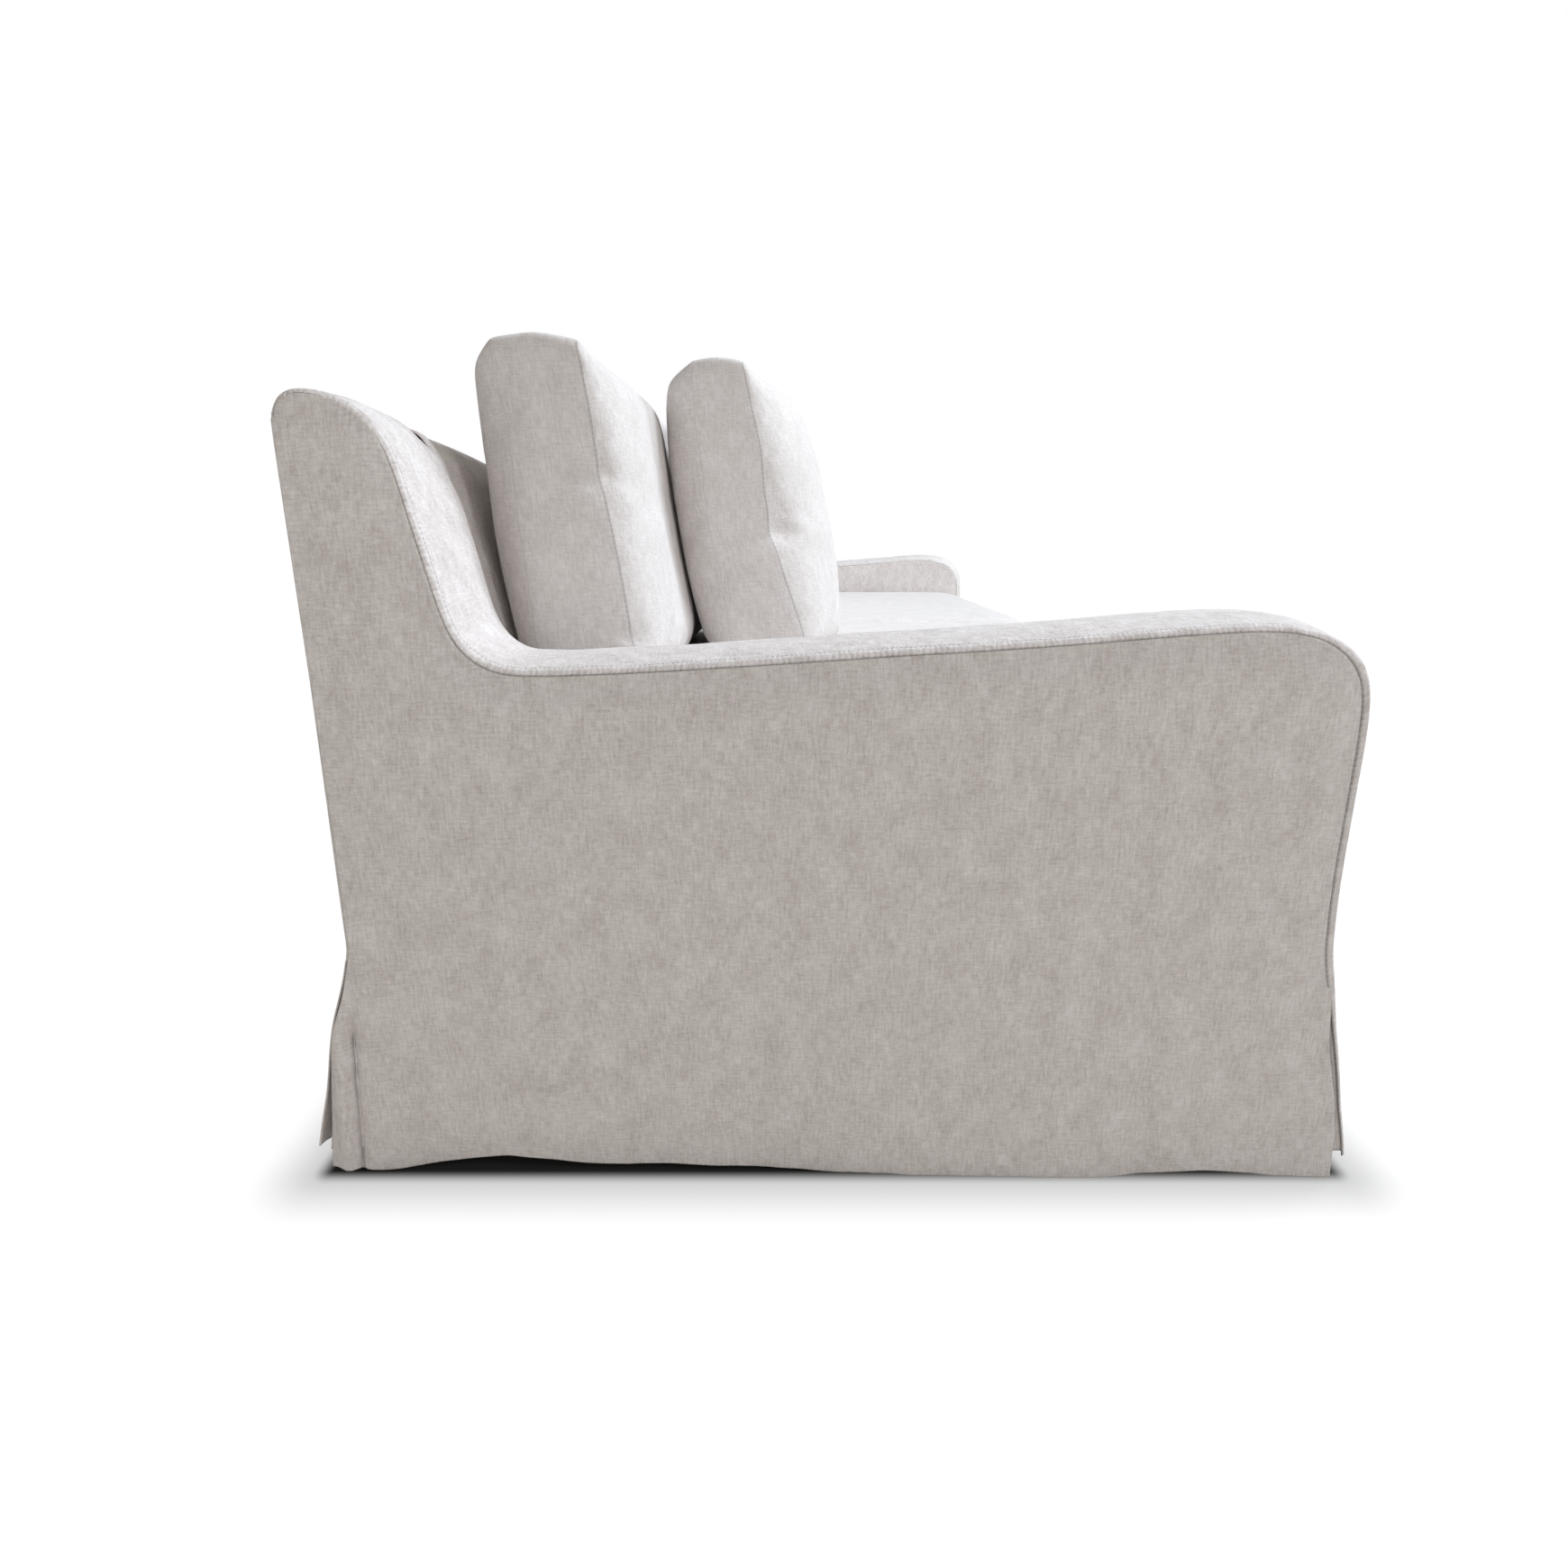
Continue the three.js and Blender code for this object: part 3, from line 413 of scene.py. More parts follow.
def batting():
    material, tree, shader = new_material("batting")
    place = node(tree, "TexCoord").outputs["Object"]
    tufts = stretched_noise(tree, place, (60.0, 60.0, 60.0), 5.0, 0.65)
    fibres = stretched_noise(tree, place, (480.0, 480.0, 480.0), 3.0, 0.7)
    tone = math_node(tree, "ADD", math_node(tree, "MULTIPLY", tufts, 0.6),
                     math_node(tree, "MULTIPLY", fibres, 0.4))
    colour = node(tree, "Mix", [(0, tone), (6, (0.70, 0.67, 0.59, 1)), (7, (0.90, 0.88, 0.82, 1))],
                  data_type="RGBA").outputs[2]
    bump = node(tree, "Bump", [("Strength", 0.8), ("Distance", 0.003), ("Height", tone)]).outputs[0]
    tree.links.new(colour, shader.inputs["Base Color"])
    tree.links.new(bump, shader.inputs["Normal"])
    shader.inputs["Roughness"].default_value = 1.0
    shader.inputs["Sheen Weight"].default_value = 0.3
    return material


slipcover_linen = linen("slipcover_linen", (0.930, 0.888, 0.874, 1), (0.620, 0.571, 0.546, 1),
                        topstitch=1.0, relief=1.0, seam_painted_shade=0.56)
# The cushion linen's lighter tone is darker than the slipcover's: painted shade that offsets the stronger key light on
# the cushions. Its relief and seam shade are softer too.
cushion_linen = linen("cushion_linen", (0.875, 0.843, 0.830, 1), (0.650, 0.612, 0.590, 1),
                      topstitch=0.0, relief=0.45, seam_painted_shade=0.74)
padding = batting()

# Slipcover

seam_line = rounded(SEAM_LINE, 0.004, 0.008)


def nearest(line, point):
    return int(np.argmin(np.linalg.norm(line - np.array(point), axis=1)))


def along_line(line, shares):
    """Points at shares of a line's length."""
    along = lengths(line)
    at = np.asarray(shares) * along[-1]
    return np.stack([np.interp(at, along, line[:, k]) for k in range(line.shape[1])], axis=1)


def patch(bottom, top, left, right, u, v):
    """A grid between four edges: left and right run from the bottom's ends to the top's."""
    b, t = along_line(bottom, u), along_line(top, u)
    s, r = along_line(left, v), along_line(right, v)
    u, v = u[None, :, None], v[:, None, None]
    ruled = (1 - v) * b[None] + v * t[None] + (1 - u) * s[:, None] + u * r[:, None]
    corners = ((1 - u) * (1 - v) * b[0] + u * (1 - v) * b[-1] + (1 - u) * v * t[0] + u * v * t[-1])
    return ruled - corners


def line_distance(points, line):
    """Distance of each point from a line, and the distance along the line of its nearest point."""
    flat = points.reshape(-1, 2)
    along = lengths(line)
    best = np.full(len(flat), np.inf)
    run = np.zeros(len(flat))
    for i in range(len(line) - 1):
        a, ab = line[i], line[i + 1] - line[i]
        t = np.clip((flat - a) @ ab / (ab @ ab), 0, 1)
        off = np.linalg.norm(flat - a - t[:, None] * ab, axis=1)
        closer = off < best
        best = np.where(closer, off, best)
        run = np.where(closer, along[i] + t * (along[i + 1] - along[i]), run)
    return best.reshape(points.shape[:-1]), run.reshape(points.shape[:-1])


def side_panel(name, side):
    """The flat side of the slipcover, from the seam round arm and wing down to a loose hem."""
    nose, crest = nearest(seam_line, NOSE), nearest(seam_line, CREST)
    front = rounded(FRONT_SLIT_EDGE + [tuple(p) for p in seam_line[:nose + 1]], 0.004, 0.006)
    rear = rounded(REAR_SLIT_EDGE + [tuple(p) for p in seam_line[crest:][::-1]], 0.004, 0.006)
    hem = rounded(SIDE_HEM, 0.006, 0.018)
    front[0], rear[0] = hem[0], hem[-1]
    edges = (0.0016, 0.0034, 0.0056, 0.009, 0.014)
    by_fold = edges + tuple(np.arange(0.018, 0.050, 0.004))
    flat = patch(hem, seam_line[nose:crest + 1], front, rear,
                 stations(1.07, 0.008, by_fold), stations(0.75, 0.008, edges))
    y, z = flat[..., 0], flat[..., 1]
    seam_distance, seam_run = line_distance(flat, seam_line)
    rounding = -drawn_in(y, z) * (1 - smooth(seam_distance / 0.050)) ** 1.5
    loose = smooth((0.42 - z) / 0.42)
    seed = 40 + 10 * side
    drape = 0.0085 * loose ** 1.5 * noise(y / 0.19 + 0.35 * z / 0.3, z / 0.9, seed)
    drape += 0.0035 * loose ** 2 * noise(y / 0.075, z / 0.6, seed + 3)
    drape *= smooth(np.minimum(y - y[:, :1], y[:, -1:] - y) / 0.07)
    swell_at, swell = np.array(HEM_SWELL).T
    drape += np.interp(y, swell_at, swell) * smooth((0.30 - z) / 0.30) ** 1.5
    past_fold = y - line_through(REAR_FOLD)(z)
    folded = smooth((0.240 - z) / 0.085) * (1 - 0.6 * smooth((0.035 - z) / 0.035))
    drape += folded * (0.0085 * np.exp(-((past_fold - 0.013) / 0.0075) ** 2)
                       - 0.0085 * np.exp(-(past_fold / 0.0055) ** 2)
                       - 0.0040 * smooth((past_fold - 0.014) / 0.02))
    held = smooth(seam_distance / 0.05) * smooth((y[:, -1:] - y) / 0.03)
    crumple = held * (0.0013 * creases(y / 0.095, z / 0.11, seed + 5)
                      + 0.0013 * creases(y / 0.036, z / 0.042, seed + 7))
    out = drape + crumple + rounding + seam_profile(seam_distance) + 0.0015 * smooth(seam_distance / 0.02)
    x = side * (HALF - 0.0022 + out)
    points = np.stack([x, y, z], axis=-1)
    # The rear fold's groove also counts as a seam here, so the material draws the seam's dark line of painted shade
    # along the fold.
    crease = np.minimum(seam_distance, 0.4 * np.abs(past_fold) + 0.02 * (1 - smooth((0.235 - z) / 0.07)))
    obj = grid_object(name, points, flat, -crease, seam_run, flip=side > 0)
    return finish_sheet(obj, name,
                        slipcover_linen)


def path_normals(path):
    """Unit directions to the left of a path in the YZ plane."""
    steps = np.gradient(path, axis=0)
    turned = np.stack([-steps[:, 1], steps[:, 0]], axis=1)
    return turned / np.linalg.norm(turned, axis=1)[:, None]


def nose_fullness(path):
    """How much less the arm stands out at its inside than at its seam, round the nose."""
    return NOSE_FULLNESS * smooth((-0.36 - path[:, :1]) / 0.10) * smooth((path[:, 1:] - 0.18) / 0.08)


def arm_band(name, side):
    """The crowned strip from the front hem over the arm and the wing to the rear seam."""
    path = rounded(BAND_FLARE + [tuple(p) for p in seam_line], 0.0045, 0.006)
    normals = path_normals(path)
    run = lengths(path)
    inner, outer = ARM_INSIDE + 0.0015, HALF - 0.0015
    width = outer - inner
    edges = (0.0012, 0.0026, 0.0042, 0.0062, 0.0082, 0.0096, 0.011, 0.014, 0.019)
    across = stations(width, 0.008, edges)
    from_inner, from_outer = across * width, (1 - across) * width
    on_wing = smooth((path[:, 0] - 0.345) / 0.05)[:, None]
    hanging = smooth((0.24 - path[:, 1]) / 0.2)[:, None]
    full = (1 - (2 * across - 1) ** 2)[None]
    one_sided = smooth(np.minimum(from_outer / 0.045, 1))[None]
    on_crest = smooth((path[:, 1:] - 0.76) / 0.03)
    to_back = 1 - on_crest * (1.3 - 1.3 * smooth(from_inner / 0.035)[None])
    crown = 0.0115 * full * (1 - on_wing) + 0.0035 * one_sided * on_wing * to_back
    in_front = smooth((-0.450 - path[:, :1]) / 0.050) * smooth((path[:, 1:] - 0.175) / 0.07)
    roll = BAND_ROLL * shoulder(from_outer, BAND_ROLL_WIDTH) * smooth(from_inner / 0.07)
    crown = crown * (1 - hanging) * (1 - 0.5 * in_front) + in_front * roll[None]
    crown = crown - nose_fullness(path) * (1 - across)[None] ** 2
    inner_seam = seam_profile(from_inner)[None] * (1 - on_wing)
    rise = crown + seam_profile(from_outer)[None] + inner_seam
    s, a = run[:, None], from_inner[None]
    soft = np.minimum(full * 3, 1)
    seed = 70 + 10 * side
    calm = 1 - 0.7 * smooth((path[:, 1] - 0.70) / 0.08)[:, None]
    rise = rise + soft * calm * (0.0011 * creases(s / 0.10, a / 0.07, seed)
                                 + 0.0006 * creases(s / 0.035, a / 0.04, seed + 4))
    rise = rise + hanging * 0.004 * noise(s / 0.2, a / 0.06, seed + 8) * smooth(from_outer / 0.06)[None]
    rise = rise - WING_FALL * smooth((path[:, 1:] - 0.70) / 0.08) * (1 - across)[None]
    corner = np.exp(-(from_outer / 0.05) ** 2)[None] * smooth((0.09 - path[:, 1:]) / 0.08)
    y = path[:, :1] + normals[:, :1] * rise
    z = path[:, 1:] + normals[:, 1:] * rise + 0.6 * CORNER_LIFT * corner
    x = side * (inner + (width - drawn_in(path[:, :1], path[:, 1:])) * across[None])
    points = np.stack([x, y, z], axis=-1)
    cloth = np.stack([np.broadcast_to(a, y.shape), np.broadcast_to(s, y.shape)], axis=-1)
    distance = np.minimum(from_outer[None], from_inner[None] + 0.05 * on_wing)
    obj = grid_object(name, points, cloth, np.broadcast_to(distance, y.shape),
                      np.broadcast_to(s, y.shape), flip=side > 0)
    return finish_sheet(obj, name,
                        slipcover_linen)


def back_plane(z):
    """The Y of the back's sloping face at a height."""
    return BACK_FOOT + (z - SEAT_BOTTOM) * RAKE


def back_top(x):
    """Height of the back's serpentine top line."""
    def eased(t):
        return (1 - np.cos(np.pi * np.clip(t, 0, 1))) / 2
    share = np.maximum(ARM_INSIDE - np.abs(x), 0) / ARM_INSIDE
    to_dip = np.clip(share / BACK_DIP_SHARE, 0, 1)
    fall = to_dip ** 2 * eased(to_dip) + (1 - to_dip ** 2) * to_dip ** 1.4
    dipped = WING_FALL + (BACK_DIP - WING_FALL) * fall
    humped = (BACK_DIP + BACK_HUMP) * eased((share - BACK_DIP_SHARE) / (1 - BACK_DIP_SHARE))
    return WING_TOP - dipped + humped


def inner_arm(name, side):
    """The panel between the arm band, the deck and the back."""
    nose = nearest(seam_line, NOSE)
    root = nearest(seam_line, (0.3562, 0.5715))
    base = DECK_PAD_BOTTOM + 0.001
    inner_line = seam_line - path_normals(seam_line) * nose_fullness(seam_line)
    front = rounded([(FRONT + 0.001, base), (FRONT + 0.001, 0.40)]
                    + [tuple(p) for p in inner_line[nearest(seam_line, (-0.5050, 0.431)):nose + 1]],
                    0.004, 0.006)
    top = inner_line[nose:root + 1]
    rear = spaced([(back_plane(base) - 0.001, base), tuple(top[-1])], 60)
    bottom = spaced([tuple(front[0]), tuple(rear[0])], 60)
    edges = (0.0016, 0.0034, 0.0056, 0.009, 0.014)
    flat = patch(bottom, top, front, rear, stations(0.83, 0.010, edges), stations(0.3, 0.010, edges))
    y, z = flat[..., 0], flat[..., 1]
    seam_distance, seam_run = line_distance(flat, inner_line[:root + 1])
    seed = 100 + 10 * side
    out = seam_profile(seam_distance) + smooth(seam_distance / 0.04) * (
        0.0008 * creases(y / 0.09, z / 0.08, seed))
    x = side * (ARM_INSIDE + 0.0018 - out)
    obj = grid_object(name, np.stack([x, y, z], axis=-1), flat, -seam_distance, seam_run,
                      flip=side < 0)
    return finish_sheet(obj, name,
                        slipcover_linen)


def inside_back(name):
    """The face of the back, from the deck up and over its serpentine top to the rear seam."""
    reach = ARM_INSIDE + 0.0015
    columns = np.linspace(-reach, reach, 201)
    rows = []
    for x in columns:
        top = back_top(x)
        crest = top - WING_TOP_FALL
        line = [(back_plane(DECK_PAD_BOTTOM), DECK_PAD_BOTTOM), (back_plane(crest - 0.03), crest - 0.03),
                (back_plane(crest) + 0.012, crest + 0.001), (REAR - 0.012, top), (REAR - 0.0015, top - REAR_SEAM_DROP)]
        rows.append(along_line(rounded(line, 0.004, 0.009), stations(0.66, 0.008, (0.002, 0.005, 0.010))))
    grid = np.stack(rows, axis=1)
    y, z = grid[..., 0], grid[..., 1]
    x = np.broadcast_to(columns[None], y.shape)
    run = np.concatenate([np.zeros((1, len(columns))),
                          np.cumsum(np.linalg.norm(np.diff(grid, axis=0), axis=-1), axis=0)])
    from_top = run[-1][None] - run
    soft = smooth(from_top / 0.12) * smooth((reach - np.abs(x)) / 0.08)
    out = soft * (0.0016 * creases(x / 0.17, run / 0.13, 131) + 0.0007 * creases(x / 0.05, run / 0.06, 135))
    out += seam_profile(from_top)
    dent = PILLOW_DENT * smooth((0.985 - np.abs(x)) / 0.05) * smooth((from_top - 0.02) / 0.05)
    along = np.gradient(grid, axis=0)
    normal = np.stack([-along[..., 1], along[..., 0]], axis=-1)
    normal /= np.linalg.norm(normal, axis=-1)[..., None]
    points = np.stack([x, y + normal[..., 0] * (out - 0.0012) + dent,
                       z + normal[..., 1] * (out - 0.0012)], axis=-1)
    cloth = np.stack([x, run], axis=-1)
    obj = grid_object(name, points, cloth, -from_top, x)
    return finish_sheet(obj, name, slipcover_linen)


def outside_back(name):
    """The rear panel: smooth above, loose and flared below its slits."""
    reach = HALF - 0.0028
    edges = (0.002, 0.005, 0.010)
    columns = (stations(2 * reach, 0.011, edges) * 2 - 1) * reach
    rows = []
    for x in columns:
        corner = math.exp(-((reach - abs(x)) / 0.05) ** 2)
        edge = max(0, 1 - (reach - abs(x)) / 0.016) ** 2
        top = back_top(x) - REAR_SEAM_DROP - 0.008 * edge
        z = np.linspace(top, HEM + CORNER_LIFT * corner, 160)
        calm, flared = line_through(REAR_FLARE)(z), line_through(CORNER_FLARE)(z)
        share = np.where(z > 0.27, edge, np.maximum(edge, corner))
        line = np.stack([calm + (flared - calm) * share, z], axis=1)
        rows.append(along_line(rounded(line, 0.006, 0.012), stations(0.8, 0.011, edges)))
    grid = np.stack(rows, axis=1)
    y, z = grid[..., 0], grid[..., 1]
    x = np.broadcast_to(columns[None], y.shape)
    from_top = back_top(x) - REAR_SEAM_DROP - z
    from_side = reach - np.abs(x)
    seam_distance = np.minimum(from_top, np.where(z > 0.262, from_side, 0.05 + from_side))
    loose = smooth((0.40 - z) / 0.40)
    held = smooth(seam_distance / 0.05)
    out = 0.0080 * loose ** 1.5 * noise(x / 0.22 + 0.3 * z, z / 0.8, 151)
    out += 0.0030 * loose ** 2 * noise(x / 0.08, z / 0.6, 153)
    out *= smooth(from_side / 0.08)
    out += held * (0.0013 * creases(x / 0.11, z / 0.13, 155) + 0.0006 * creases(x / 0.035, z / 0.05, 157))
    out += seam_profile(seam_distance)
    points = np.stack([x, y - 0.0012 + out, z], axis=-1)
    # The seam distance is set 2 mm further off, so the painted shade along these seams is lighter.
    obj = grid_object(name, points, np.stack([x, z], axis=-1), -seam_distance - 0.002,
                      np.where(from_top < from_side, x, z), flip=True)
    return finish_sheet(obj, name, slipcover_linen)


def front_border(name):
    """The border under the seat cushions, loose and flared at its hem."""
    reach = ARM_INSIDE - 0.0010
    edges = (0.002, 0.005, 0.010)
    columns = (stations(2 * reach, 0.010, edges) * 2 - 1) * reach
    line = rounded([(FRONT + 0.006, DECK_TOP - 0.0025), (FRONT + 0.0012, DECK_TOP - 0.004), (FRONT + 0.0006, 0.24),
                    (-0.524, 0.150), (-0.549, 0.060), (-HEM_REACH + 0.001, HEM)], 0.004, 0.006)
    grid = along_line(line, stations(0.34, 0.009, edges))
    y = np.broadcast_to(grid[:, :1], (len(grid), len(columns)))
    z = np.broadcast_to(grid[:, 1:], y.shape)
    x = np.broadcast_to(columns[None], y.shape)
    loose = smooth((0.30 - z) / 0.30)
    from_top = DECK_TOP - 0.0025 - z
    out = 0.0085 * loose ** 1.3 * noise(x / 0.20, z / 0.5, 171) + 0.0035 * loose ** 1.5 * noise(x / 0.075, z / 0.4, 173)
    out += smooth(from_top / 0.03) * 0.0012 * creases(x / 0.09, z / 0.08, 175)
    edge = smooth((reach - np.abs(x)) / 0.02)
    points = np.stack([x, y - out * (0.3 + 0.7 * edge) - seam_profile(from_top), z], axis=-1)
    obj = grid_object(name, points, np.stack([x, z], axis=-1), from_top, x)
    return finish_sheet(obj, name, slipcover_linen)


def deck(name):
    """The cover of the seat deck, under the cushions."""
    reach = ARM_INSIDE - 0.0010
    columns = np.linspace(-reach, reach, 161)
    rows = np.linspace(FRONT + 0.001, back_plane(DECK_TOP) - 0.002, 65)
    x, y = np.meshgrid(columns, rows)
    z = DECK_TOP - 0.0012 - 0.0009 * np.abs(creases(x / 0.12, y / 0.10, 191))
    obj = grid_object(name, np.stack([x, y, z], axis=-1), np.stack([x, y], axis=-1),
                      np.full_like(x, 0.1), x)
    return finish_sheet(obj, name, slipcover_linen, 0.0012)


def kick_pleat(name, side, end):
    """The folded insert that hangs behind the slit at a corner."""
    top = 0.226 if end < 0 else 0.262
    flare = line_through(BAND_FLARE + [(FRONT, 0.26)] if end < 0 else REAR_FLARE)
    outer = HALF - 0.0055
    leg = 0.072
    slit = line_through(FRONT_SLIT_EDGE if end < 0 else REAR_SLIT_EDGE)
    corner = rounded([(outer - leg, 0.0), (outer, 0.0), (outer, -leg)], 0.0008, 0.0012)
    shares = np.sort(np.concatenate([stations(0.144, 0.005), 0.5 + np.arange(-8, 9) * 0.0035]))
    ring = along_line(corner, shares)
    z = np.linspace(top, HEM + 0.002, 40)[:, None]
    fall = smooth((top - z) / top)
    reach = np.abs(flare(z)) - (0.0014 if end < 0 else 0.0045)
    run = (shares * 2 * leg)[None]
    ripple = 0.0022 * fall * noise(run / 0.03, z / 0.3, 201 + 3 * side + end)
    ripple = ripple * smooth(np.abs(run - leg) / 0.014)
    depth = reach + ring[None, :, 1] - 0.6 * np.abs(ripple)
    in_slit = smooth((depth - np.abs(slit(z)) - 0.001) / 0.005) * (ring[None, :, 0] > outer - 0.006)
    x = side * (ring[None, :, 0] - 0.6 * np.abs(ripple) + 0.0028 * in_slit)
    y = end * depth
    z = np.broadcast_to(z, y.shape) + 0.7 * CORNER_LIFT * smooth((0.09 - z) / 0.08)
    plain = np.stack([np.broadcast_to(x, y.shape), y, z], axis=-1)
    cloth = np.stack([np.broadcast_to(run, y.shape), z], axis=-1)
    obj = grid_object(name, plain, cloth, np.full_like(z, 0.1), z, flip=side * end < 0)
    return finish_sheet(obj, name,
                        slipcover_linen)


for name, side in SIDES.items():
    side_panel(f"cover_side_{name}", side)
    arm_band(f"cover_arm_band_{name}", side)
    inner_arm(f"cover_inner_arm_{name}", side)
    kick_pleat(f"kick_pleat_front_{name}", side, -1)
    kick_pleat(f"kick_pleat_rear_{name}", side, 1)
inside_back("cover_inside_back")
outside_back("cover_outside_back")
front_border("cover_front")
deck("cover_deck")


# Cushions

def boxed_cushion(name, size, step, place):
    """A closed cushion on a grid: two panels and the boxing between them.

    size is the cushion's width, height and boxing as cut. place turns shares (s, t, w) of them into
    points; w is 0 on the rear or lower panel and 1 on the front or upper one.
    """
    width, height, boxing = size
    shares = [stations(width, step, (0.006,)), stations(height, step, (0.006,)),
              stations(boxing, step, (0.006,))]
    counts = [len(a) for a in shares]
    index, points, faces, cloth, seam = {}, [], [], [], []

    def vertex(i, j, k):
        if (i, j, k) not in index:
            index[i, j, k] = len(points)
            points.append((shares[0][i], shares[1][j], shares[2][k]))
        return index[i, j, k]

    last = [c - 1 for c in counts]
    for k, turned in ((0, True), (last[2], False)):
        for i in range(last[0]):
            for j in range(last[1]):
                ring = [(i, j), (i + 1, j), (i + 1, j + 1), (i, j + 1)]
                ring = ring[::-1] if turned else ring
                faces.append([vertex(a, b, k) for a, b in ring])
                for a, b in ring:
                    x, y = shares[0][a] * width, shares[1][b] * height
                    from_x, from_y = min(x, width - x), min(y, height - y)
                    cloth.append((x + 0.7 * k, y))
                    seam.append((min(from_x, from_y) + (REAR_SEAM_FAINTNESS if k == 0 else 0),
                                 y if from_x < from_y else x))
    loop = ([(i, 0) for i in range(last[0])] + [(last[0], j) for j in range(last[1])]
            + [(i, last[1]) for i in range(last[0], 0, -1)] + [(0, j) for j in range(last[1], 0, -1)])
    run = 0.0
    for n, (a, b) in enumerate(loop):
        c, d = loop[(n + 1) % len(loop)]
        ahead = run + abs(shares[0][c] - shares[0][a]) * width + abs(shares[1][d] - shares[1][b]) * height
        for k in range(last[2]):
            faces.append([vertex(a, b, k), vertex(c, d, k), vertex(c, d, k + 1), vertex(a, b, k + 1)])
            for at, level in ((run, k), (ahead, k), (ahead, k + 1), (run, k + 1)):
                depth = shares[2][level] * boxing
                cloth.append((depth + 2.0, at))
                seam.append((-min(depth + REAR_SEAM_FAINTNESS, boxing - depth), at))
        run = ahead
    s, t, w = np.array(points).T
    return mesh_object(f"{name}_linen", place(s, t, w), faces, cloth, seam)


def inflate(objects, frames=16, pressure=4.0, slack=0.03, cap=0.014):
    """Cloth simulation of several cushions at once: pressed out from within, a little slack in the
    cloth, and no point moved further than the cap. The result is applied to the meshes."""
    scene = bpy.context.scene
    scene.frame_start, scene.frame_end = 1, frames
    before = {}
    for obj in objects:
        cloth = obj.modifiers.new("cloth", "CLOTH")
        settings = cloth.settings
        settings.quality = 5
        settings.mass = 0.3
        settings.tension_stiffness = settings.compression_stiffness = 12
        settings.shear_stiffness = 4
        settings.bending_stiffness = 0.35
        settings.air_damping = 1.5
        settings.use_pressure = True
        settings.uniform_pressure_force = pressure
        settings.shrink_min = -slack
        settings.effector_weights.gravity = 0
        settings.vertex_group_mass = "held"
        settings.pin_stiffness = 1.0
        cloth.collision_settings.use_collision = False
        cloth.point_cache.frame_start, cloth.point_cache.frame_end = 1, frames
        before[obj.name] = vertex_array(obj.data)
    for number in range(1, frames + 1):
        scene.frame_set(number)
    graph = bpy.context.evaluated_depsgraph_get()
    after = {}
    for obj in objects:
        result = obj.evaluated_get(graph)
        after[obj.name] = vertex_array(result.data)
    for obj in objects:
        moved = after[obj.name] - before[obj.name]
        far = np.linalg.norm(moved, axis=1)
        keep = cap * np.tanh(far / cap) / np.maximum(far, 1e-9)
        obj.modifiers.clear()
        set_vertices(obj.data, before[obj.name] + moved * keep[:, None])
    scene.frame_set(1)


def vertex_array(mesh):
    """A mesh's points as an array."""
    flat = np.zeros(len(mesh.vertices) * 3)
    mesh.vertices.foreach_get("co", flat)
    return flat.reshape(-1, 3)


def set_vertices(mesh, points):
    """Moves a mesh's points to those of an array."""
    mesh.vertices.foreach_set("co", points.ravel())
    mesh.update()


def hold(obj, weights):
    """How firmly each vertex keeps its place in the simulation, from 0 to 1."""
    group = obj.vertex_groups.new(name="held")
    for i, weight in enumerate(weights):
        group.add([i], float(weight), "REPLACE")


def fullness(s, t, width, height, beside_reach, above_reach, steepness):
    """How far a pillow's face stands out: 0 at its seams, 1 in the middle."""
    beside = shoulder(np.minimum(s, 1 - s) * width, beside_reach, steepness)
    above = shoulder(t * height, 0.035) * shoulder((1 - t) * height, above_reach)
    return 0.7 * beside * above + 0.3 * np.sin(np.pi * s) * np.sin(np.pi * t)


def round_corners(s, t, width, height, radius):
    """The shares of a panel with its corners drawn in to an arc."""
    x, y = s * width, t * height
    u = np.maximum(radius - np.minimum(x, width - x), 0) / radius
    v = np.maximum(radius - np.minimum(y, height - y), 0) / radius
    x = x + radius * u * (1 - np.sqrt(1 - v * v / 2)) * np.sign(0.5 - s)
    y = y + radius * v * (1 - np.sqrt(1 - u * u / 2)) * np.sign(0.5 - t)
    return x / width, y / height


def eased_to(values, limit, ease=0.008):
    """Values that level off softly before they reach a limit from below."""
    over = np.maximum(values - (limit - ease), 0)
    return np.minimum(values, limit - ease) + ease * np.tanh(over / ease)


def seat_cushion(name, side):
    """A boxed foam cushion with a soft crown."""
    low, high = (np.array(corner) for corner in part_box(name))
    x_from, x_to = (low[0], high[0]) if side > 0 else (high[0], low[0])
    width, depth = abs(x_to - x_from), 0.82

    def place(s, t, w):
        rear = back_plane(SEAT_BOTTOM + 0.150 * w) - 0.003
        sway = np.sin(np.pi * w)
        x = x_from + (x_to - x_from) * s
        x = x - side * 0.005 * (2 * s - 1) * np.sin(np.pi * t)
        y = FRONT + 0.003 + (rear - FRONT - 0.003) * t
        y = y - 0.005 * (2 * t - 1) * np.sin(np.pi * s)
        crown = np.where(w == 1, 0.021, 0.0)
        edge = np.minimum(np.minimum(s, 1 - s) * width, np.minimum(t, 1 - t) * depth)
        z = SEAT_BOTTOM + 0.0003 + 0.149 * w + crown * np.sin(np.pi / 2 * np.clip(edge / 0.12, 0, 1))
        on_side = np.where((s == 0) | (s == 1), 1, 0) * sway
        on_end = np.where((t == 0) | (t == 1), 1, 0) * sway
        x = x + side * 0.0015 * np.sign(s - 0.5) * on_side
        y = y + 0.004 * np.sign(t - 0.5) * on_end
        return np.stack([x, y, z], axis=-1)

    obj = boxed_cushion(name, (width, depth, 0.150), 0.012, place)
    if side < 0:
        obj.data.flip_normals()
    z = vertex_array(obj.data)[:, 2]
    hold(obj, np.where(z < SEAT_BOTTOM + 0.002, 1.0, 0.12))
    return obj


